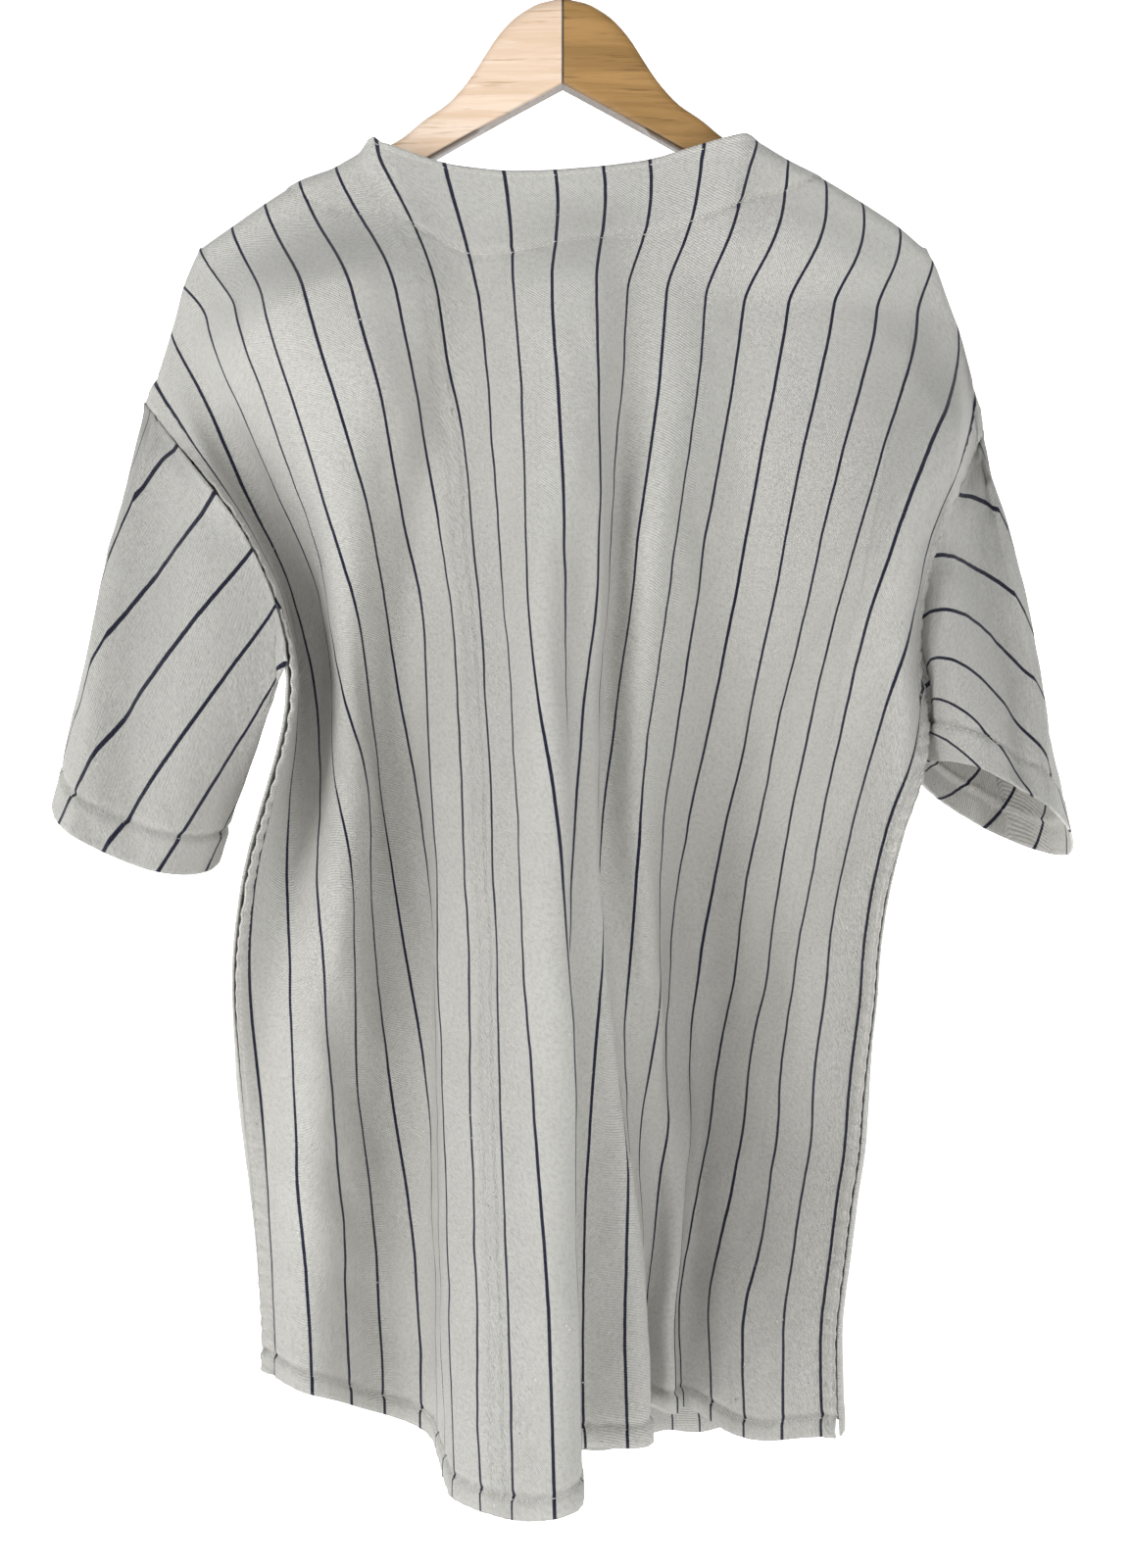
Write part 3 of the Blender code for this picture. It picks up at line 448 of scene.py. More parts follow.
# %% Front panels
SEAM_STEP = 0.0019
FRONT_REACH = ((-0.240, -0.030), (-0.330, -0.052), (-0.450, -0.082), (-0.600, -0.108), (-0.800, -0.122),
               (-0.940, -0.126))
FRONT_PLEATS = (
    # share of the way from side to centre, width share, depth at the hem
    (0.20, 0.16, 0.016),
    (0.42, 0.18, -0.014),
    (0.62, 0.16, 0.015),
    (0.82, 0.18, -0.010),
)
CENTRE_TOP, CENTRE_HEM = -0.252, -0.936
LAP = 0.0155
fine_rows = np.unique(np.concatenate([np.arange(0, 10), np.arange(10, len(rows_s), 2),
                                      [PIT_ROW, len(rows_s) - 1]]))
front_p, front_s = rows_p[fine_rows], rows_s[fine_rows]
side_lines = {-1: back_plain[fine_rows, 0], 1: back_plain[fine_rows, -1]}
side_normals = {-1: back_in[fine_rows, 0], 1: back_in[fine_rows, -1]}
FRONT_PIT = int(np.argmin(np.abs(front_s - ARMPIT)))
FRONT_COLUMNS = np.linspace(0.0, 1.0, 89)


def edge_at(line, z, k):
    """One coordinate of a seam line at a height."""
    return np.interp(-z, -line[:, 2], line[:, k])


def front_grid(side):
    """One front, from its side edge (share 0) to the centre front (share 1)."""
    line, inward = side_lines[side], side_normals[side]
    neck_u = NECK_LEFT if side < 0 else NECK_RIGHT
    share_neck = 1.0 - abs(neck_u) / HALF_WIDTH
    neck_x, neck_z = (float(v) for v in top_edge(np.array(neck_u)))
    neck_y = float(arm_sweep(neck_x)) + RIDGE_GAP
    centre_x = 0.5 * (edge_at(side_lines[-1], CENTRE_TOP, 0) + edge_at(side_lines[1], CENTRE_TOP, 0))
    centre_y = -float(column(FRONT_REACH, 0, 1, CENTRE_TOP))
    pit_z, shoulder_z = line[FRONT_PIT, 2], line[0, 2]
    grid = np.zeros((len(front_s), len(FRONT_COLUMNS), 3))
    for i, c in enumerate(FRONT_COLUMNS):
        if c <= share_neck:
            u = math.copysign(ARMHOLE_WIDTH + (abs(neck_u) - ARMHOLE_WIDTH) * c / share_neck, neck_u)
            top_x, top_z = (float(v) for v in top_edge(np.array(u)))
            top_y = float(arm_sweep(top_x)) + RIDGE_GAP
        else:
            t = (c - share_neck) / (1.0 - share_neck)
            top_x = neck_x + (centre_x - neck_x) * (1.0 - (1.0 - t) ** 1.5)
            fall = max(0.0, (t - 0.07) / 0.93)
            top_z = neck_z - (neck_z - CENTRE_TOP) * (1.0 - (1.0 - fall) ** 2) ** 0.7
            top_y = neck_y + 0.0105 * float(smooth(t / 0.03))
            top_y += (centre_y - top_y) * float(smooth(fall / 0.4))
        over = float(smooth((share_neck + 0.012 - c) / 0.012))
        hem_z = line[-1, 2] + (CENTRE_HEM - line[-1, 2]) * float(smooth(c / 0.8))
        turn = np.minimum(front_p / SHOULDER_ROUND, 0.5 * math.pi)
        start_z = top_z - (over * SHOULDER_ROUND * (1.0 - np.cos(turn)) + (1.0 - over) * front_p)
        z = start_z + front_s * (hem_z - start_z)
        down = top_z - z
        hole = np.sin(math.pi * np.clip((shoulder_z - z) / (shoulder_z - pit_z), 0, 1))
        side_x = edge_at(line, z, 0) + np.interp(-z, -line[:, 2], inward[:, 0]) * SEAM_STEP
        side_y = edge_at(line, z, 1) + np.interp(-z, -line[:, 2], inward[:, 1]) * SEAM_STEP + 0.050 * hole
        mid_x = 0.5 * (edge_at(side_lines[-1], z, 0) + edge_at(side_lines[1], z, 0))
        mid_y = -column(FRONT_REACH, 0, 1, z)
        x = side_x + (mid_x - side_x) * (c - 0.36 * math.sin(math.pi * c) * math.exp(-c / 0.20))
        x = x + side * 0.007 * math.sin(math.pi * min(c / 0.14, 1.0)) * smooth((pit_z - 0.10 - z) / 0.15)
        y = side_y + (mid_y - side_y) * (1.0 - (1.0 - c) ** 4)
        for centre, width, pleat in FRONT_PLEATS:
            y = y + smooth((-0.22 - z) / 0.45) * pleat / (1.0 + ((c - centre) / (0.5 * width)) ** 4)
        y = y + (mid_y - y) * float(smooth((c - 0.69) / 0.13))
        ridge = float(arm_sweep(top_x))
        shoulder = ridge + RIDGE_GAP + (SHOULDER_ROUND - RIDGE_GAP) * np.sin(turn)
        start_y = over * shoulder + (1.0 - over) * top_y
        blend = smooth((down - 0.012 * over) / 0.075)
        x = top_x + (x - top_x) * blend
        y = start_y + (y - start_y) * blend
        beyond = 0.004 * float(smooth((c - share_neck + 0.02) / 0.02))
        y = np.maximum(y, arm_sweep(x) + arm_room(x, z) + beyond)
        grid[:, i] = np.stack([x, y, z], axis=1)
    hole = np.sin(math.pi * np.clip((shoulder_z - line[:, 2]) / (shoulder_z - pit_z), 0, 1))
    start = line + inward * SEAM_STEP + np.stack([0 * hole, 0.050 * hole, 0 * hole], axis=1)
    for j in range(9):
        mirrored = 2 * float(arm_sweep(line[j, 0])) - line[j, 1]
        start[j] = (line[j, 0], max(mirrored, line[j, 1] + 2 * RIDGE_GAP) + 0.050 * hole[j], line[j, 2])
    grid += (start - grid[:, 0])[:, None] * (1.0 - smooth(FRONT_COLUMNS / 0.20))[None, :, None]
    near = smooth((FRONT_COLUMNS - 0.66) / 0.17)[None]
    grid[..., 0] -= side * LAP * near
    grid[..., 1] -= side * near * (0.0013 + 0.0014 * smooth((grid[..., 2] + 0.37) / 0.06))
    # clear of the folds of the back that reach towards the front
    flat = back_plain[::3, ::2].reshape(-1, 3)
    for j in range(grid.shape[0]):
        level = flat[np.abs(flat[:, 2] - grid[j].mean(0)[2]) < 0.05]
        for i in range(1, grid.shape[1]):
            x, y, z = grid[j, i]
            close = (np.abs(level[:, 0] - x) < 0.010) & (np.abs(level[:, 2] - z) < 0.012)
            if z < -0.30 and close.any():
                need = level[close, 1].max() + 0.0065 * min(1.0, FRONT_COLUMNS[i] / 0.2)
                grid[j, i, 1] = max(y, need)
    return grid


fronts = {side: front_grid(side) for side in (-1, 1)}

# %% [markdown]
# ## The sleeves
# Each sleeve is a tube. Its first ring is the armhole and its last is the hem, and it keeps outside the
# widest part of the body below the arm.

# %% Sleeves
SLEEVE_HEM = {
    -1: {"outer": (-0.289, -0.522), "under": (-0.196, -0.560), "near": 0.050, "far": -0.075, "lead": -0.020,
         "near_sag": 0.013, "far_sag": -0.004},
    1: {"outer": (0.291, -0.556), "under": (0.200, -0.506), "near": 0.040, "far": -0.080, "lead": -0.035,
        "near_sag": -0.014, "far_sag": 0.006},
}
SLEEVE_FOLDS = ((0.50, 0.20, -0.006), (0.30, 0.22, 0.003), (0.74, 0.20, 0.004))
SLEEVE_ROWS = 96


def sleeve_grid(side):
    """A tube from the armhole to the sleeve hem: near half first, then far half."""
    edge = 0 if side < 0 else -1
    pick = np.unique(np.round(np.linspace(0, FRONT_PIT, 37)).astype(int))
    near = back_plain[fine_rows[pick], edge]
    far = fronts[side][pick, 0]
    count = len(pick) - 1
    # even steps in the CAD's own row shares, so that the tubes agree
    share_of_row = np.where(front_s[pick] > 0, 3 / 9 + (6 / 9) * front_s[pick] / ARMPIT,
                            (3 / 9) * front_p[pick] / TOP_ROLL)
    shares = np.concatenate([share_of_row, share_of_row[1:-1][::-1]])
    root = np.concatenate([near, far[1:-1][::-1]])
    hem = SLEEVE_HEM[side]
    (ox, oz), (ux, uz) = hem["outer"], hem["under"]
    middle = -0.5 * (hem["near"] + hem["far"])
    spread = 0.5 * (hem["near"] - hem["far"])
    near_half = np.arange(len(shares)) <= count
    towards = np.where(near_half, -1.0, 1.0)
    across = 0.5 - 0.5 * np.cos(math.pi * shares)
    bulge = np.sin(math.pi * shares)
    sag = np.where(near_half, hem["near_sag"], hem["far_sag"])
    ring = np.stack([ox + (ux - ox) * across, middle + hem["lead"] * across + towards * spread * bulge,
                     oz + (uz - oz) * across - sag * bulge], axis=1)
    away_near = near - back_plain[fine_rows[pick], 3 if side < 0 else -4]
    away_far = far - fronts[side][pick, 3]
    away_near /= np.linalg.norm(away_near, axis=1, keepdims=True)
    away_far /= np.linalg.norm(away_far, axis=1, keepdims=True)
    away_far += np.array([1.2 * side, 0.0, 0.0])
    for end in (0, -1):
        away_near[end] = away_near[end] + away_far[end] + np.array([1.0 * side, 0.0, 0.0])
        root[0 if end == 0 else count] = 0.5 * (near[end] + far[end])
    away = np.concatenate([away_near, away_far[1:-1][::-1]])
    along = np.roll(root, -1, axis=0) - np.roll(root, 1, axis=0)
    along /= np.maximum(np.linalg.norm(along, axis=1, keepdims=True), 1e-9)
    away -= along * np.sum(away * along, axis=1, keepdims=True)
    away /= np.linalg.norm(away, axis=1, keepdims=True)
    for _ in range(6):
        away = (away + np.roll(away, 1, axis=0) + np.roll(away, -1, axis=0)) / 3
    pit = np.maximum(0.0, 1.0 - np.abs(np.arange(len(root)) - count) / 6.0)
    start = root + away * (0.0012 + 0.0014 * pit[:, None])
    levels = np.linspace(root[count, 2] + 0.006, -0.62, 60)
    body = np.concatenate([back_plain[fine_rows], fronts[side]], axis=1)
    widest = np.array([max(side * np.interp(-z, -body[:, i, 2], body[:, i, 0])
                           for i in range(0, body.shape[1], 2)) for z in levels])
    grid = []
    for j in range(SLEEVE_ROWS):
        t = j / (SLEEVE_ROWS - 1)
        line = start + (ring - start) * t
        line[:, 1] += towards * 0.008 * math.sin(math.pi * t) * bulge
        for centre, width, depth in SLEEVE_FOLDS:
            fold = 1.0 + ((shares - centre) / (0.5 * width)) ** 4
            line[:, 1] -= near_half * depth * smooth(t * 2.5) / fold
        if j:
            room = CLOTH + 0.0008 + 0.0026 * (near_half & (np.arange(len(root)) < count))
            limit = np.interp(-line[:, 2], -levels, widest) + room
            under = smooth((root[count, 2] + 0.036 - line[:, 2]) / 0.026) * smooth(t / 0.06)
            line[:, 0] += under * side * np.maximum(0.0, limit - side * line[:, 0])
        grid.append(line)
    return np.array(grid), shares, near_half


def stripes_on_sleeve(side, shares, near_half, rows):
    """Stripe coordinate of a sleeve: the stripes fan from the armhole down to the outer edge and hem."""
    t = np.linspace(0, 1, rows)[:, None]
    a = 0.5 * shares[None]
    if side < 0:
        u = (14.0 * a) * (1 - t) + (3.8 + 9.4 * a) * t
        far = -(14.0 * a) * (1 - t) + (3.8 - 9.4 * a) * t
    else:
        u = (1.0 + 12.5 * a) * (1 - t) + (6.0 + 9.0 * a) * t
        far = (1.0 - 12.5 * a) * (1 - t) + (6.0 - 9.0 * a) * t
    return np.where(near_half[None], u, far)


# %% [markdown]
# ## Materials
# Ribbed cotton knit is matt and slightly fuzzy, with pills where it has been worn. The patterns are in
# inches of cloth, so they follow the folds. The ribs, at 14 and 17 to the inch, are drawn coarser than
# a real knit so that they show. The wood is varnished, so it keeps a glare over its grain; on the left arm the
# glare is also painted into the wood as paler tones, and both arms carry painted shade on their undersides.

# %% Colours and materials


def colour(code):
    """sRGB hex to linear colour."""
    parts = [int(code[k:k + 2], 16) / 255 for k in (1, 3, 5)]
    return tuple(p / 12.92 if p <= 0.04045 else ((p + 0.055) / 1.055) ** 2.4 for p in parts) + (1.0,)


def node(tree, kind, inputs=None, **settings):
    """Add a node; inputs is a table of socket name or number to a value or another node's socket."""
    made = tree.nodes.new(kind)
    for key, value in settings.items():
        setattr(made, key, value)
    for key, value in (inputs or {}).items():
        if isinstance(value, bpy.types.NodeSocket):
            tree.links.new(value, made.inputs[key])
        else:
            made.inputs[key].default_value = value
    return made


def maths(tree, kind, a, b=0.0, c=0.0):
    """Output of one Math node."""
    return node(tree, "ShaderNodeMath", {0: a, 1: b, 2: c}, operation=kind).outputs[0]


def mix_colour(tree, share, a, b, blend="MIX"):
    """Colour between a and b by a share."""
    made = node(tree, "ShaderNodeMix", {0: share}, data_type="RGBA", blend_type=blend)
    for socket, value in (("A", a), ("B", b)):
        target = [s for s in made.inputs if s.name == socket and s.type == "RGBA"][0]
        if isinstance(value, bpy.types.NodeSocket):
            tree.links.new(value, target)
        else:
            target.default_value = value
    return [s for s in made.outputs if s.type == "RGBA"][0]


def new_material(name):
    """An empty material with its node tree and its shader."""
    made = bpy.data.materials.new(name)
    made.use_nodes = True
    tree = made.node_tree
    shader = tree.nodes["Principled BSDF"]
    return made, tree, shader


def step_between(tree, value, low, high):
    """0 at low and 1 at high, eased; it falls instead of rising when low is above high."""
    return node(tree, "ShaderNodeMapRange", {0: value, 1: low, 2: high, 3: 0.0, 4: 1.0},
                interpolation_type="SMOOTHSTEP").outputs[0]


def knit(name, base, striped=True, pill_low=-0.62):
    """Off-white ribbed cotton knit. The UV map holds inches across and inches down the cloth."""
    made, tree, shader = new_material(name)
    place = node(tree, "ShaderNodeUVMap", uv_map="Cloth").outputs[0]
    split = node(tree, "ShaderNodeSeparateXYZ", {0: place})
    u, v = split.outputs[0], split.outputs[1]
    spot = node(tree, "ShaderNodeTexCoord").outputs["Object"]
    height = node(tree, "ShaderNodeSeparateXYZ", {0: spot}).outputs[2]
    # diagonal ribs, 19 to the inch, broken by the loops of the knit
    drift = node(tree, "ShaderNodeTexNoise", {"Vector": place, "Scale": 1.1, "Detail": 3.0}).outputs[0]
    turned = maths(tree, "ADD", maths(tree, "MULTIPLY", u, 14.0), maths(tree, "MULTIPLY", v, 17.0))
    turned = maths(tree, "ADD", turned, maths(tree, "MULTIPLY", drift, 1.2))
    rib = maths(tree, "SINE", maths(tree, "MULTIPLY", turned, 2 * math.pi))
    loops = node(tree, "ShaderNodeTexNoise",
                 {"Vector": place, "Scale": 46.0, "Detail": 2.0, "Roughness": 0.6}).outputs[0]
    coarse = node(tree, "ShaderNodeTexNoise",
                  {"Vector": place, "Scale": 11.0, "Detail": 4.0, "Roughness": 0.65}).outputs[0]
    cloud = node(tree, "ShaderNodeTexNoise", {"Vector": spot, "Scale": 9.0, "Detail": 4.0}).outputs[0]
    tone = mix_colour(tree, maths(tree, "MULTIPLY", cloud, 0.9), colour(base[0]), colour(base[1]))
    shaded = maths(tree, "MULTIPLY", step_between(tree, coarse, 0.40, 0.68), 0.55)
    tone = mix_colour(tree, shaded, tone, colour(base[2]))
    lit = maths(tree, "MULTIPLY", step_between(tree, loops, 0.50, 0.68), 0.75)
    tone = mix_colour(tree, lit, tone, colour(base[3]))
    # pilling: small light specks, thicker towards the hem
    pills = node(tree, "ShaderNodeTexVoronoi", {"Vector": place, "Scale": 4.2, "Randomness": 1.0})
    pick = node(tree, "ShaderNodeSeparateColor", {0: pills.outputs["Color"]}).outputs[0]
    low = step_between(tree, height, pill_low + 0.14, pill_low - 0.12)
    keep = maths(tree, "LESS_THAN", pick, maths(tree, "ADD", maths(tree, "MULTIPLY", low, 0.42), 0.05))
    speck = maths(tree, "MULTIPLY", step_between(tree, pills.outputs["Distance"], 0.115, 0.05), keep)
    dark = node(tree, "ShaderNodeTexVoronoi", {"Vector": place, "Scale": 2.3, "Randomness": 1.0})
    pick_dark = node(tree, "ShaderNodeSeparateColor", {0: dark.outputs["Color"]}).outputs[1]
    fleck = maths(tree, "MULTIPLY", step_between(tree, dark.outputs["Distance"], 0.040, 0.018),
                  maths(tree, "LESS_THAN", pick_dark, 0.22))
    tone = mix_colour(tree, maths(tree, "MULTIPLY", speck, 0.75), tone, colour("#f4f3ee"))
    tone = mix_colour(tree, maths(tree, "MULTIPLY", fleck, 0.55), tone, colour("#8f887c"))
    if striped:
        wander = node(tree, "ShaderNodeTexNoise", {"Vector": place, "Scale": 3.0, "Detail": 3.0}).outputs[0]
        line = maths(tree, "ADD", u, maths(tree, "MULTIPLY", maths(tree, "SUBTRACT", wander, 0.5), 0.012))
        off = maths(tree, "ABSOLUTE", maths(tree, "SUBTRACT", line, maths(tree, "ROUND", line)))
        ragged = maths(tree, "MULTIPLY", maths(tree, "SUBTRACT", loops, 0.5), 0.014)
        half = 0.5 * STRIPE / INCH
        stripe = step_between(tree, maths(tree, "ADD", off, ragged), half + 0.007, half - 0.007)
        worn = maths(tree, "SUBTRACT", 1.0, maths(tree, "MULTIPLY", speck, 0.8))
        worn = maths(tree, "MULTIPLY", worn, maths(tree, "SUBTRACT", 1.0,
                     maths(tree, "MULTIPLY", step_between(tree, loops, 0.62, 0.78), 0.35)))
        navy = mix_colour(tree, loops, colour("#0c0e22"), colour("#191c38"))
        tone = mix_colour(tree, maths(tree, "MULTIPLY", stripe, worn), tone, navy)
    tree.links.new(tone, shader.inputs["Base Color"])
    shader.inputs["Roughness"].default_value = 0.92
    shader.inputs["Specular IOR Level"].default_value = 0.22
    shader.inputs["Sheen Weight"].default_value = 0.18
    shader.inputs["Sheen Roughness"].default_value = 0.5
    grain = maths(tree, "ADD", maths(tree, "MULTIPLY", rib, 0.30), maths(tree, "MULTIPLY", loops, 0.9))
    fine = node(tree, "ShaderNodeBump", {"Strength": 0.9, "Distance": 0.0006, "Height": grain})
    lumps = maths(tree, "ADD", maths(tree, "MULTIPLY", coarse, 0.6), maths(tree, "MULTIPLY", speck, 1.0))
    bump = node(tree, "ShaderNodeBump", {"Strength": 0.8, "Distance": 0.0012, "Height": lumps,
                                         "Normal": fine.outputs[0]})
    tree.links.new(bump.outputs[0], shader.inputs["Normal"])
    return made


CREAM = ("#c3c1bb", "#cbcac6", "#a8a69e", "#dddbd5")
body_knit = knit("striped cotton knit", CREAM)
sleeve_knit = knit("striped cotton knit of the sleeves", CREAM, pill_low=-0.80)
plain_knit = knit("plain cotton facing", ("#bbb9b4", "#c5c4c1", "#adaaa3", "#d2d0cc"), striped=False)


def thread_material():
    """Spun polyester thread: a twist finer than the stitches gives two cream tones."""
    made, tree, shader = new_material("cream sewing thread")
    spot = node(tree, "ShaderNodeTexCoord").outputs["Object"]
    twist = node(tree, "ShaderNodeTexNoise", {"Vector": spot, "Scale": 1800.0, "Detail": 1.0}).outputs[0]
    tone = mix_colour(tree, twist, colour("#c9c6ba"), colour("#e6e4dc"))
    tree.links.new(tone, shader.inputs["Base Color"])
    shader.inputs["Roughness"].default_value = 0.7
    return made


def wood_material(name, mirrored_grain_and_painted_glare):
    """Varnished wood: long grain lines along the arm, or short slanted pores on the glare side, where the paler
    tones are a painted highlight; faces turned down get painted shade.
    """
    made, tree, shader = new_material(name)
    spot = node(tree, "ShaderNodeTexCoord").outputs["Object"]
    tilt = math.radians(28 if not mirrored_grain_and_painted_glare else -28)
    turned = node(tree, "ShaderNodeMapping", {"Vector": spot, "Rotation": (0.0, -tilt, 0.0),
                                              "Scale": (7.0, 60.0, 105.0)}).outputs[0]
    streak = node(tree, "ShaderNodeTexNoise",
                  {"Vector": turned, "Scale": 1.0, "Detail": 5.0, "Roughness": 0.6, "Distortion": 0.8}).outputs[0]
    thin = node(tree, "ShaderNodeMapping", {"Vector": spot, "Rotation": (0.0, -tilt, 0.0),
                                            "Scale": (22.0, 120.0, 520.0)}).outputs[0]
    line = node(tree, "ShaderNodeTexNoise",
                {"Vector": thin, "Scale": 1.0, "Detail": 3.0, "Roughness": 0.7}).outputs[0]
    # on the glare side the grain slants the other way, and its paler tones are a painted highlight
    if mirrored_grain_and_painted_glare:
        light, mid, deep = "#ecd6c2", "#dcc0a4", "#a9855a"
    else:
        light, mid, deep = "#ac8550", "#93703f", "#5a3d1e"
    tone = mix_colour(tree, step_between(tree, streak, 0.35, 0.65), colour(light), colour(mid))
    grain = maths(tree, "MULTIPLY", step_between(tree, line, 0.56, 0.70), 0.55)
    tone = mix_colour(tree, grain, tone, colour(deep))
    # painted shade: faces of the arm that turn down are darkened towards dark brown
    underside = node(tree, "ShaderNodeNewGeometry").outputs["Normal"]
    upward = node(tree, "ShaderNodeSeparateXYZ", {0: underside}).outputs[2]
    painted_underside_shade = step_between(tree, upward, -0.25, -0.62)
    tone = mix_colour(tree, maths(tree, "MULTIPLY", painted_underside_shade, 0.85), tone, colour("#3b2614"))
    from_joint = maths(tree, "ABSOLUTE", node(tree, "ShaderNodeSeparateXYZ", {0: spot}).outputs[0])
    tone = mix_colour(tree, step_between(tree, from_joint, 0.0009, 0.0003), tone, colour("#2a1a0d"))
    tree.links.new(tone, shader.inputs["Base Color"])
    rough = maths(tree, "ADD", maths(tree, "MULTIPLY", line, 0.22), 0.20)
    tree.links.new(rough, shader.inputs["Roughness"])
    shader.inputs["Coat Weight"].default_value = 0.12
    shader.inputs["Coat Roughness"].default_value = 0.18
    bump = node(tree, "ShaderNodeBump", {"Strength": 0.35, "Distance": 0.0004, "Height": line})
    tree.links.new(bump.outputs[0], shader.inputs["Normal"])
    return made


def steel_material():
    """Bright drawn steel wire, with faint scuffs that change its roughness."""
    made, tree, shader = new_material("polished steel wire")
    spot = node(tree, "ShaderNodeTexCoord").outputs["Object"]
    scuff = node(tree, "ShaderNodeTexNoise", {"Vector": spot, "Scale": 220.0, "Detail": 4.0}).outputs[0]
    rough = maths(tree, "ADD", maths(tree, "MULTIPLY", scuff, 0.18), 0.16)
    tree.links.new(rough, shader.inputs["Roughness"])
    shader.inputs["Base Color"].default_value = colour("#c9cacc")
    shader.inputs["Metallic"].default_value = 1.0
    return made


def button_material():
    """Moulded resin with a faint swirl and a thin gloss."""
    made, tree, shader = new_material("moulded off-white button")
    spot = node(tree, "ShaderNodeTexCoord").outputs["Object"]
    swirl = node(tree, "ShaderNodeTexNoise",
                 {"Vector": spot, "Scale": 160.0, "Detail": 3.0, "Distortion": 1.0}).outputs[0]
    tone = mix_colour(tree, swirl, colour("#d8d3c6"), colour("#f0ede4"))
    tree.links.new(tone, shader.inputs["Base Color"])
    shader.inputs["Roughness"].default_value = 0.28
    shader.inputs["Coat Weight"].default_value = 0.3
    return made


thread = thread_material()

# %% [markdown]
# ## Shells and stitches
# A panel is a grid with a Solidify wall. Stitches are small real pieces, since a bump alone would be
# lost at the edge of a fold.

# %% Mesh building


def panel(name, grid, uv, look, thickness=CLOTH, wrap=False, flip=False):
    """A thin shell on a grid of points, with inches across and down the cloth in its UV map."""
    rows, cols = grid.shape[:2]
    index = np.arange(rows * cols).reshape(rows, cols)
    nxt = np.roll(index, -1, axis=1) if wrap else index[:, 1:]
    now = index if wrap else index[:, :-1]
    quads = np.stack([now[:-1], nxt[:-1], nxt[1:], now[1:]], axis=-1).reshape(-1, 4)
    if flip:
        quads = quads[:, ::-1]
    mesh = bpy.data.meshes.new(name)
    mesh.from_pydata(grid.reshape(-1, 3).tolist(), [], quads.tolist())
    layer = mesh.uv_layers.new(name="Cloth")
    loops = np.zeros(len(mesh.loops), dtype=np.int32)
    mesh.loops.foreach_get("vertex_index", loops)
    place = uv.reshape(-1, 2)[loops]
    if wrap:
        # the last column of faces closes the tube: carry the stripe coordinate on across it
        closing = np.zeros((rows - 1, cols), bool)
        closing[:, -1] = True
        flags = np.repeat(closing.reshape(-1), 4)
        ends = np.isin(loops, index[:, 0]) & flags
        row_of = loops // cols
        place = place.copy()
        place[ends, 0] = 2 * uv[row_of[ends], -1, 0] - uv[row_of[ends], -2, 0]
    layer.data.foreach_set("uv", place.astype(np.float32).ravel())
    mesh.materials.append(look)
    mesh.shade_smooth()
    made = bpy.data.objects.new(name, mesh)
    bpy.context.scene.collection.objects.link(made)
    wall = made.modifiers.new("Wall", "SOLIDIFY")
    wall.thickness = thickness
    wall.offset = 0.0
    wall.use_even_offset = False
    return made


def stitches(name, points, normals, length=0.0026, gap=0.0011, thick=0.00050, lift=0.0007):
    """A row of short thread stitches along a line of points."""
    step = np.concatenate([[0], np.cumsum(np.linalg.norm(np.diff(points, axis=0), axis=1))])
    total = step[-1]
    verts, faces = [], []
    at = 0.001
    while at + length < total:
        ends = []
        for q in (at, at + 0.5 * length, at + length):
            point = np.array([np.interp(q, step, points[:, k]) for k in range(3)])
            normal = np.array([np.interp(q, step, normals[:, k]) for k in range(3)])
            ends.append((point, normal / np.linalg.norm(normal)))
        along = ends[2][0] - ends[0][0]
        along /= np.linalg.norm(along)
        base = len(verts)
        for (point, normal), high, wide in zip(ends, (0.1, 1.0, 0.1), (0.55, 1.0, 0.55)):
            side = np.cross(along, normal)
            side /= np.linalg.norm(side)
            middle = point + normal * (lift - 0.0003 + 0.0004 * high)
            for k in range(5):
                a = 2 * math.pi * k / 5
                spoke = math.cos(a) * side + math.sin(a) * normal
                verts.append(tuple(middle + 0.5 * thick * wide * spoke))
        for r in range(2):
            for k in range(5):
                n = (k + 1) % 5
                ring = base + r * 5
                faces.append((ring + k, ring + n, ring + 5 + n, ring + 5 + k))
        faces.append(tuple(base + k for k in reversed(range(5))))
        faces.append(tuple(base + 10 + k for k in range(5)))
        at += length + gap * random.uniform(0.85, 1.2)
    mesh = bpy.data.meshes.new(name)
    mesh.from_pydata(verts, [], faces)
    mesh.materials.append(thread)
    mesh.shade_smooth()
    made = bpy.data.objects.new(name, mesh)
    bpy.context.scene.collection.objects.link(made)
    return made


# %% [markdown]
# ## Sewing on the back
# The back gets its neck edge, facing, hem and side seam stitches.

# %% Build the back
down_inches = down_back / INCH
uv_back = np.stack([back_u, -down_inches], axis=-1)
back_piece = panel("jersey_back", back, uv_back, body_knit, flip=True)
back_out = -grid_normals(back)


def line_on(grid, outward, rows_at, cols=None):
    """Points and outward normals of a line that crosses the grid at a fractional row for each column."""
    cols = range(grid.shape[1]) if cols is None else cols
    points, normals = [], []
    for i in cols:
        r = float(rows_at[i])
        j = min(int(r), grid.shape[0] - 2)
        part = r - j
        points.append(grid[j, i] * (1 - part) + grid[j + 1, i] * part)
        normals.append(outward[j, i] * (1 - part) + outward[j + 1, i] * part)
    return np.array(points), np.array(normals)


def rows_at_depth(lengths, depth):
    """Fractional row at which the distance down a column reaches a depth."""
    depth = np.broadcast_to(depth, (lengths.shape[1],))
    rows = np.arange(lengths.shape[0])
    return np.array([np.interp(depth[i], lengths[:, i], rows) for i in range(lengths.shape[1])])


print("back: %d rows by %d columns, %.0f mm from neck to hem" % (
    *back.shape[:2], 1000 * down_back[-1].max()))

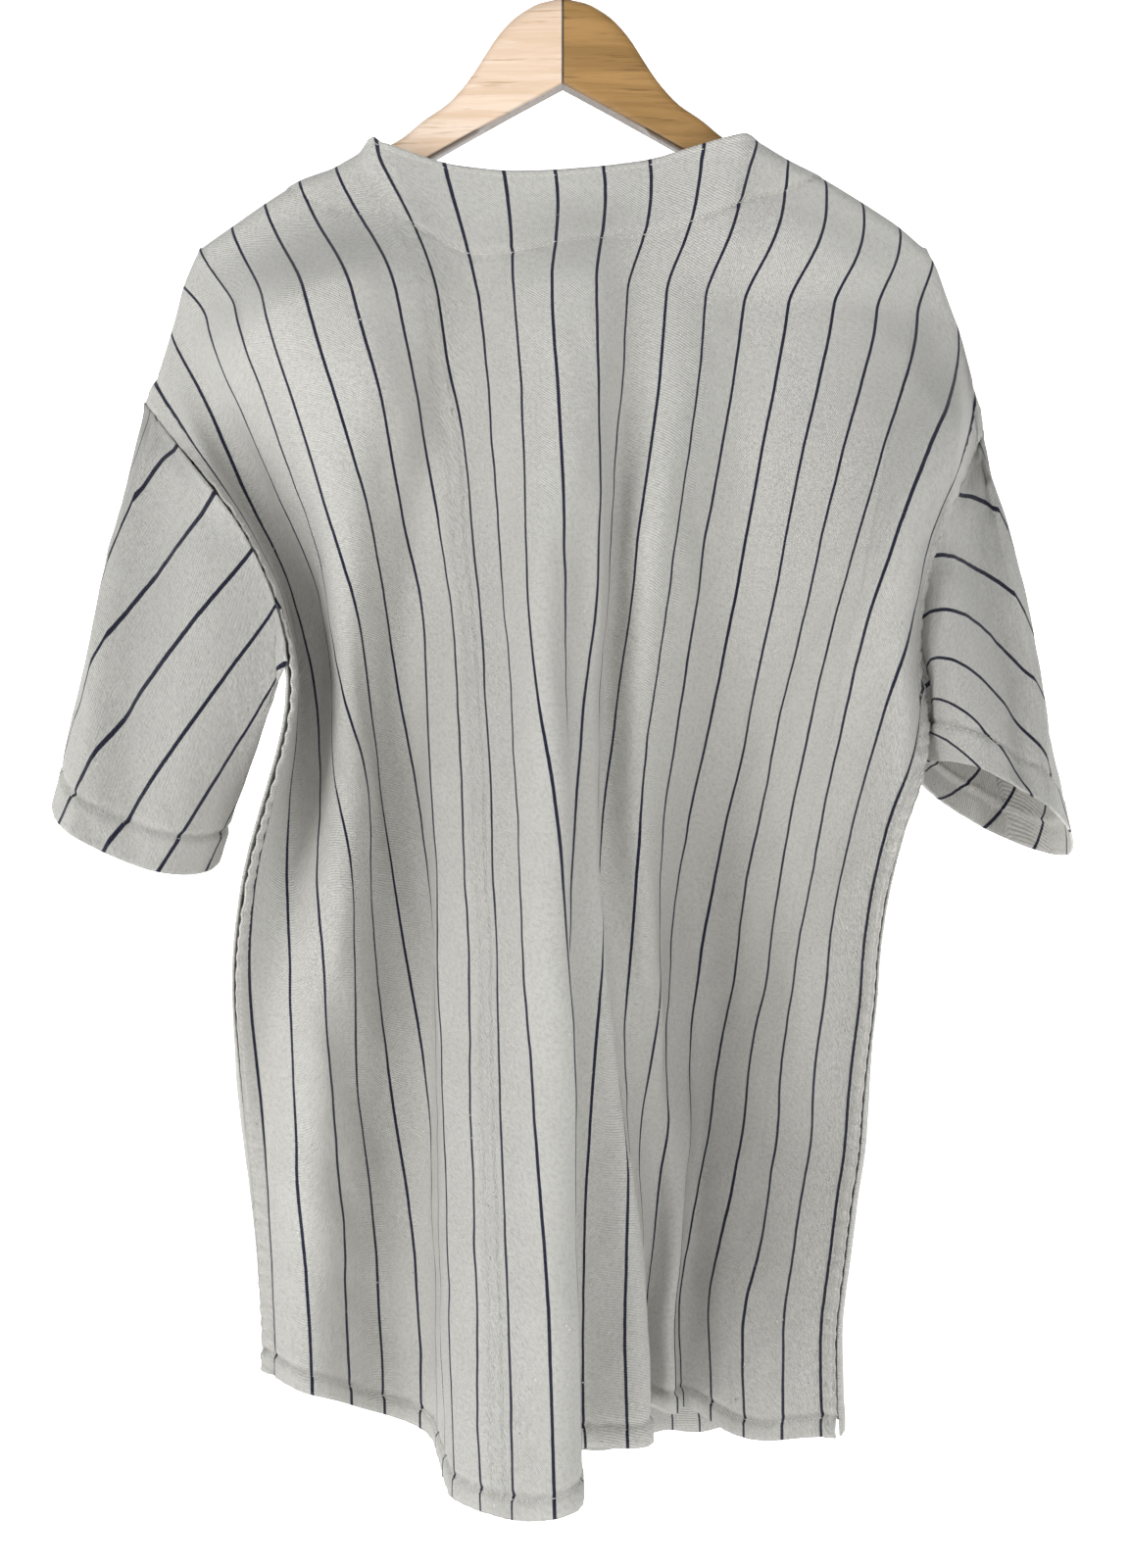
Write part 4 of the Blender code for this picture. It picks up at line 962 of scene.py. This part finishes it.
sewing = []
top_u = back_u[0]
open_cols = [i for i in range(len(columns)) if NECK_LEFT + 0.35 < top_u[i] < NECK_RIGHT - 0.35]
neck_rows = rows_at_depth(down_back, 0.0032)
sewing.append(stitches("neck_edge_stitches", *line_on(back, back_out, neck_rows, open_cols)))
facing_cols = [i for i in range(len(columns)) if -5.2 < back_u[12, i] < 5.75]
facing_rows = np.array([np.interp(0.0, down_back[:, i] - facing_drop[:, i], np.arange(len(rows_s)))
                        for i in range(len(columns))])
sewing.append(stitches("facing_stitches", *line_on(back, back_out, facing_rows, facing_cols)))
hem_rows = rows_at_depth(down_back, down_back[-1] - 0.0105)
sewing.append(stitches("back_hem_stitches", *line_on(back, back_out, hem_rows)))
for side, edge in ((-1, range(0, 12)), (1, range(len(columns) - 1, len(columns) - 13, -1))):
    for inset, tag in ((0.0020, "outer"), (0.0082, "inner")):
        points, normals = [], []
        for j in range(6, len(rows_s) - 4):
            col = list(edge)
            away_from_edge = to_side[j, col]
            points.append([np.interp(inset, away_from_edge, back[j, col, k]) for k in range(3)])
            normals.append([np.interp(inset, away_from_edge, back_out[j, col, k]) for k in range(3)])
        where = "left" if side < 0 else "right"
        sewing.append(stitches("side_stitches_%s_%s" % (where, tag), np.array(points), np.array(normals)))

# %% [markdown]
# ## Fronts, placket and seven buttons
# The placket is a strip of the left front, moved out by one thickness of cloth. Each button sits at its
# solid's place and faces out of the strip.

# %% Build the fronts, placket and buttons
FRONT_CREASES = (
    # u0    z0      u1     z1     width  depth
    (3.0, -0.30, 4.6, -0.46, 0.7, 0.0018),
    (6.2, -0.34, 5.2, -0.50, 0.8, -0.0018),
    (8.6, -0.46, 7.0, -0.62, 0.8, 0.0020),
    (4.4, -0.60, 5.6, -0.80, 0.7, -0.0018),
    (9.6, -0.62, 8.4, -0.80, 0.8, 0.0018),
    (2.6, -0.66, 3.2, -0.86, 0.6, 0.0014),
)
front_pieces = {}
for side, name in ((-1, "jersey_front_left"), (1, "jersey_front_right")):
    grid = fronts[side]
    inward = grid_normals(grid)
    from_middle = grid - np.array([0, -0.02, -0.5])
    inward = np.where((inward * from_middle).sum(-1, keepdims=True) > 0, -inward, inward)
    length = path_length(grid, 0)
    u = HALF_WIDTH * (1.0 - FRONT_COLUMNS)[None] + 0 * length
    rise = crease_relief(u, grid[..., 2], FRONT_CREASES, 20 + side)
    rise = rise * smooth(length / 0.06) * smooth((FRONT_COLUMNS / 0.1))[None]
    rise = rise * (1.0 - smooth((FRONT_COLUMNS - 0.66) / 0.1))[None]
    rest = length[-1:] - length
    ripple = 0.5 + 0.5 * np.sin(u * INCH * 2 * math.pi / 0.009)
    rise = (rise + smooth((0.0115 - rest) / 0.0016) * (0.0004 + 0.0003 * ripple)
            - 0.0004 * np.exp(-((rest - 0.0118) / 0.0016) ** 2))
    shaped = grid - inward * rise[..., None]
    uv = np.stack([side * u * -1.0 + (0.5 if side > 0 else 0.0), -length / INCH], axis=-1)
    made = panel(name, shaped, uv, body_knit, flip=side > 0)
    front_pieces[side] = (made, shaped, -inward, length)
    rows = rows_at_depth(length, length[-1] - 0.0105)
    sewing.append(stitches(name + "_hem_stitches", *line_on(shaped, -inward, rows)))

made, left, outward, length = front_pieces[-1]
first = int(np.argmin(np.abs(FRONT_COLUMNS - 19 / 22)))
strip = left[10:, first:] + outward[10:, first:] * (CLOTH + 0.0004)
strip_u = (FRONT_COLUMNS[first:] * 9.0)[None] + 0 * length[10:, first:]
strip_uv = np.stack([strip_u, -length[10:, first:] / INCH], axis=-1)
placket = panel("jersey_placket", strip, strip_uv, body_knit)
for inset, tag in ((1, "edge"), (len(FRONT_COLUMNS) - first - 2, "inner")):
    sewing.append(stitches("placket_stitches_" + tag, strip[:, inset], outward[10:, first + inset]))

button_look = button_material()
buttons = []
for k in range(7):
    low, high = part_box("button_%d" % (k + 1))
    centre = 0.5 * (np.array(low) + np.array(high))
    spot = strip.reshape(-1, 3)
    near = int(np.argmin(np.linalg.norm(spot - centre, axis=1)))
    axis = outward[10:, first:].reshape(-1, 3)[near]
    side_axis = np.cross((0.0, 0.0, 1.0), axis)
    side_axis /= np.linalg.norm(side_axis)
    up_axis = np.cross(axis, side_axis)
    base = spot[near] + axis * 0.5 * CLOTH
    offset = centre - base
    base = centre - axis * float(np.dot(offset, axis)) + axis * 0.0002
    # rim of a button, from its underside over the edge to the sunk middle: share of the radius, height
    profile = ((0.80, 0.0), (0.98, 0.0005), (1.0, 0.0011), (0.96, 0.0018), (0.86, 0.0020), (0.76, 0.0017),
               (0.66, 0.0013), (0.30, 0.0012))
    verts, faces = [], []
    for radius, height in profile:
        for m in range(40):
            a = 2 * math.pi * m / 40
            spoke = math.cos(a) * side_axis + math.sin(a) * up_axis
            verts.append(tuple(base + axis * height + 0.0095 * radius * spoke))
    for r in range(len(profile) - 1):
        for m in range(40):
            n = (m + 1) % 40
            faces.append((r * 40 + m, r * 40 + n, (r + 1) * 40 + n, (r + 1) * 40 + m))
    faces.append(tuple(reversed(range(40))))
    # four sewing holes ring the flat middle
    middle = len(verts)
    verts.append(tuple(base + axis * 0.0012))
    for m in range(40):
        faces.append(((len(profile) - 1) * 40 + m, (len(profile) - 1) * 40 + (m + 1) % 40, middle))
    for m in range(4):
        a = math.pi / 4 + m * math.pi / 2
        hole = base + axis * 0.00125 + 0.0019 * (math.cos(a) * side_axis + math.sin(a) * up_axis)
        ring = len(verts)
        for q in range(8):
            b = 2 * math.pi * q / 8
            verts.append(tuple(hole + 0.0007 * (math.cos(b) * side_axis + math.sin(b) * up_axis)))
        faces.append(tuple(range(ring, ring + 8)))
    mesh = bpy.data.meshes.new("jersey_button_%d" % (k + 1))
    mesh.from_pydata(verts, [], faces)
    mesh.materials.append(button_look)
    mesh.materials.append(thread)
    for face in mesh.polygons[-4:]:
        face.material_index = 1
    mesh.shade_smooth()
    button = bpy.data.objects.new(mesh.name, mesh)
    bpy.context.scene.collection.objects.link(button)
    buttons.append(button)

# %% [markdown]
# ## Sewing on the sleeves
# Each sleeve has one deep fold in its middle, a raised seam at the armhole and a 20 mm hem.

# %% Build the sleeves
sleeve_pieces = {}
for side, name in ((-1, "jersey_sleeve_left"), (1, "jersey_sleeve_right")):
    tube, shares, near_half = sleeve_grid(side)
    outward = grid_normals(tube, wrap=True)
    middle = tube.mean(axis=1, keepdims=True)
    outward = np.where((outward * (tube - middle)).sum(-1, keepdims=True) > 0, outward, -outward)
    length = path_length(tube, 0)
    rest = length[-1:] - length
    around = path_length(tube, 1)
    rise = 0.0006 * wave(31 + side, around, length, 0.07) + 0.0003 * wave(33 + side, around, length, 0.028)
    crook = 0.5 * shares[None] + 0.10 * np.sin(length * 14)
    rise = (rise + 0.0030 * np.exp(-((crook - 0.22) / 0.035) ** 2)
            - 0.0024 * np.exp(-((crook - 0.30) / 0.03) ** 2))
    rise = rise * smooth(length / 0.02) * smooth(rest / 0.02 + 0.25)
    ripple = 0.5 + 0.5 * np.sin(around * 2 * math.pi / 0.0095 + 2.0 * wave(9, around, 0 * around, 0.04))
    rise = (rise + smooth((0.0205 - rest) / 0.0016) * 0.0006
            - 0.0014 * np.exp(-((rest - 0.0215) / 0.0017) ** 2))
    rise = rise + 0.0005 * ripple * smooth((0.021 - rest) / 0.004) + 0.0010 * np.exp(-(length / 0.004) ** 2)
    shaped = tube + outward * rise[..., None]
    stripe_u = stripes_on_sleeve(side, shares, near_half, SLEEVE_ROWS)
    uv = np.stack([stripe_u, -length / INCH], axis=-1)
    made = panel(name, shaped, uv, sleeve_knit, wrap=True, flip=side < 0)
    sleeve_pieces[side] = made
    rows = rows_at_depth(length, length[-1] - 0.0195)
    points, normals = line_on(shaped, outward, rows)
    sewing.append(stitches(name + "_hem_stitches", points, normals))

# %% [markdown]
# ## The neck facing
# A plain strip inside the neck, made from the back's own points moved in.

# %% Build the neck facing
FACING_SPAN = (-5.35, 5.9)
facing_depths = np.linspace(0.0, 1.0, 34)
chosen = [i for i in range(len(columns)) if FACING_SPAN[0] < back_u[12, i] < FACING_SPAN[1]]
facing_grid = np.zeros((len(facing_depths), len(chosen), 3))
inner = back_plain + back_in * 0.0017
for i, k in enumerate(chosen):
    drop = float(soft_column(FACING_DROP, 0, 1, back_u[12, k], 0.2))
    rows = np.interp(0.0015 + (drop - 0.0015) * facing_depths, down_back[:, k], np.arange(len(rows_s)))
    low_row = rows.astype(int)
    part = (rows - low_row)[:, None]
    facing_grid[:, i] = inner[low_row, k] * (1 - part) + inner[low_row + 1, k] * part
facing_u = back_u[12, chosen][None] + 0 * facing_grid[..., 0]
uv = np.stack([facing_u, -path_length(facing_grid, 0) / INCH], axis=-1)
facing = panel("jersey_neck_facing", facing_grid, uv, plain_knit, thickness=0.0010)

# %% [markdown]
# ## The hanger
# Two shaped wooden arms meet in a mitre, and a steel wire hook stands in the joint.

# %% Build the hanger


def skin(name, sections, looks, caps=True):
    """A closed surface through matching sections, with a cap on both ends."""
    count = len(sections[0])
    verts = [tuple(p) for section in sections for p in section]
    faces = []
    for j in range(len(sections) - 1):
        for i in range(count):
            k = (i + 1) % count
            faces.append((j * count + i, j * count + k, (j + 1) * count + k, (j + 1) * count + i))
    if caps:
        faces.append(tuple(reversed(range(count))))
        faces.append(tuple(range((len(sections) - 1) * count, len(sections) * count)))
    mesh = bpy.data.meshes.new(name)
    mesh.from_pydata(verts, [], faces)
    mesh.materials.append(looks)
    made = bpy.data.objects.new(name, mesh)
    bpy.context.scene.collection.objects.link(made)
    return made


ARM_THICKNESS = 0.013
# section of an arm: share of half its thickness, share of half its height
PROFILE = ((-1.0, -0.80), (-0.93, -0.94), (-0.80, -1.0), (0.80, -1.0), (0.93, -0.94), (1.0, -0.80),
           (1.0, 0.55), (0.93, 0.78), (0.72, 0.93), (0.40, 0.985), (0.0, 1.0), (-0.40, 0.985),
           (-0.72, 0.93), (-0.93, 0.78), (-1.0, 0.55))
arm_x = np.concatenate([np.linspace(0.00002, 0.195, 60), np.linspace(0.198, 0.208, 9)])
arms = []
for side, name in ((-1, "hanger_wood_left"), (1, "hanger_wood_right")):
    sections = []
    for x in arm_x:
        top = float(soft_column(ARM, 0, 1, x, 0.004)) if x < 0.2 else float(column(ARM, 0, 1, x))
        bottom = float(column(ARM, 0, 2, x))
        mid, half = 0.5 * (top + bottom), 0.5 * (top - bottom)
        end = math.sqrt(max(0.06, 1.0 - max(0.0, (x - 0.199) / 0.0092) ** 2))
        sweep = float(arm_sweep(x))
        ring = [(side * x, sweep + dy * 0.5 * ARM_THICKNESS * end, mid + dz * half) for dy, dz in PROFILE]
        sections.append(ring if side > 0 else ring[::-1])
    wood = wood_material("varnished wood, %s arm" % ("left" if side < 0 else "right"), side < 0)
    arm = skin(name, sections, wood)
    arm.data.shade_smooth()
    arm.data.set_sharp_from_angle(angle=math.radians(50))
    arms.append(arm)

path = []
radius = HOOK_RADIUS + WIRE_RADIUS
for k in range(73):
    angle = math.radians(205 - k * (205 + 62) / 72)
    path.append(np.array((radius * math.cos(angle), 0.0, -HOOK_RADIUS + radius * math.sin(angle))))
x0, z0 = path[-1][0], path[-1][2]
bottom = -0.0707 + 0.0003
for k in range(1, 21):
    t = k / 20
    path.append(np.array((x0 * (1 - t) ** 2, 0.0, z0 + (bottom + 0.012 - z0) * t)))
path.append(np.array((0.0, 0.0, bottom + 0.0042)))
wire = [WIRE_RADIUS] * len(path)
wire[0], wire[1] = 0.0011, 0.0017
# the collar where the wire enters the wood: height above the joint, radius
COLLAR = ((0.0038, WIRE_RADIUS), (0.0034, 0.0046), (0.0030, 0.0052), (0.0004, 0.0052), (0.0, 0.0049))
for height, size in COLLAR:
    path.append(np.array((0.0, 0.0, bottom + height)))
    wire.append(size)
sections = []
for k, point in enumerate(path):
    along = path[min(k + 1, len(path) - 1)] - path[max(k - 1, 0)]
    along /= np.linalg.norm(along)
    across = np.array((0.0, 1.0, 0.0))
    other = np.cross(along, across)
    turns = [2 * math.pi * m / 20 for m in range(20)]
    sections.append([point + wire[k] * (math.cos(a) * across + math.sin(a) * other) for a in turns])
hook = skin("hanger_wire_hook", sections, steel_material())
hook.data.shade_smooth()
hook.data.set_sharp_from_angle(angle=math.radians(50))

# %% [markdown]
# ## Riding the frame
# Each piece takes the place of one solid, which is hidden.

# %% Join the looks to the frame
pairs = [(back_piece, "back", "body_cotton"), (front_pieces[-1][0], "front_left", "body_cotton"),
         (front_pieces[1][0], "front_right", "body_cotton"), (placket, "front_placket", "placket_cotton"),
         (sleeve_pieces[-1], "sleeve_left", "sleeve_cotton"),
         (sleeve_pieces[1], "sleeve_right", "sleeve_cotton"),
         (facing, "back_neck_facing", "neck_facing"), (arms[0], "hanger_arm_left", "hanger_wood"),
         (arms[1], "hanger_arm_right", "hanger_wood"), (hook, "hanger_hook", "hook_wire")]
pairs += [(b, "button_%d" % (k + 1), "button") for k, b in enumerate(buttons)]
for piece, part, slot in pairs:
    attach(piece, "root")
    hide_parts(part)
for row in sewing:
    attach(row, "root")

print("pieces: %d on solids, %d rows of stitches" % (len(pairs), len(sewing)))

# %% [markdown]
# ## Studio
# A white sweep and three soft lamps. The strongest stands to the left, because the sides of the folds
# that face left are the bright ones. The sweep's wall is far enough back for a view from behind.

# %% Floor, backdrop, light and camera
stage_look, tree, shader = new_material("plain white backdrop")
shader.inputs["Base Color"].default_value = colour("#ffffff")
shader.inputs["Roughness"].default_value = 1.0
shader.inputs["Emission Color"].default_value = (1.0, 1.0, 1.0, 1.0)
shader.inputs["Emission Strength"].default_value = 0.9
profile = [(-7.0, -1.15), (5.4, -1.15)]
profile += [(5.4 + 0.6 * math.sin(a), -1.15 + 0.6 * (1 - math.cos(a)))
            for a in np.linspace(0.1, math.pi / 2, 14)]
profile += [(6.0, 9.0)]
verts = [(x, y, z) for x in (-12.0, 12.0) for y, z in profile]
count = len(profile)
faces = [(k, count + k, count + k + 1, k + 1) for k in range(count - 1)]
mesh = bpy.data.meshes.new("backdrop")
mesh.from_pydata(verts, [], faces)
mesh.materials.append(stage_look)
mesh.shade_smooth()
backdrop = bpy.data.objects.new("backdrop", mesh)
bpy.context.scene.collection.objects.link(backdrop)

world = bpy.data.worlds.new("studio")
bpy.context.scene.world = world
world.use_nodes = True
world.node_tree.nodes["Background"].inputs[0].default_value = (0.92, 0.96, 1.0, 1.0)
world.node_tree.nodes["Background"].inputs[1].default_value = 0.24


def area_light(name, place, target, size, power, tint=(1.0, 1.0, 1.0)):
    """A rectangular lamp at a place, turned to a target."""
    data = bpy.data.lights.new(name, "AREA")
    data.shape = "RECTANGLE"
    data.size, data.size_y = size
    data.energy = power
    data.color = tint
    made = bpy.data.objects.new(name, data)
    bpy.context.scene.collection.objects.link(made)
    made.location = place
    made.rotation_euler = (Vector(target) - Vector(place)).to_track_quat("-Z", "Y").to_euler()
    return made


area_light("window from the left", (-1.6, -1.8, 0.35), (0.0, 0.0, -0.45), (1.0, 1.4), 29.0)
area_light("soft right", (1.9, -1.5, -0.2), (0.0, 0.0, -0.5), (1.0, 1.4), 8.0)
area_light("soft front", (0.3, -2.2, 0.6), (0.0, 0.0, -0.5), (2.2, 1.6), 3.0)

camera_data = bpy.data.cameras.new("camera")
camera_data.sensor_width = 36.0
camera_data.lens = 1943.0 / 1600.0 * 36.0
camera = bpy.data.objects.new("camera", camera_data)
camera.location = (0.001, -1.08, -0.515)
camera.rotation_euler = (math.pi / 2, 0.0, 0.0)
bpy.context.scene.collection.objects.link(camera)
bpy.context.scene.camera = camera
bpy.context.scene.view_settings.view_transform = "Standard"
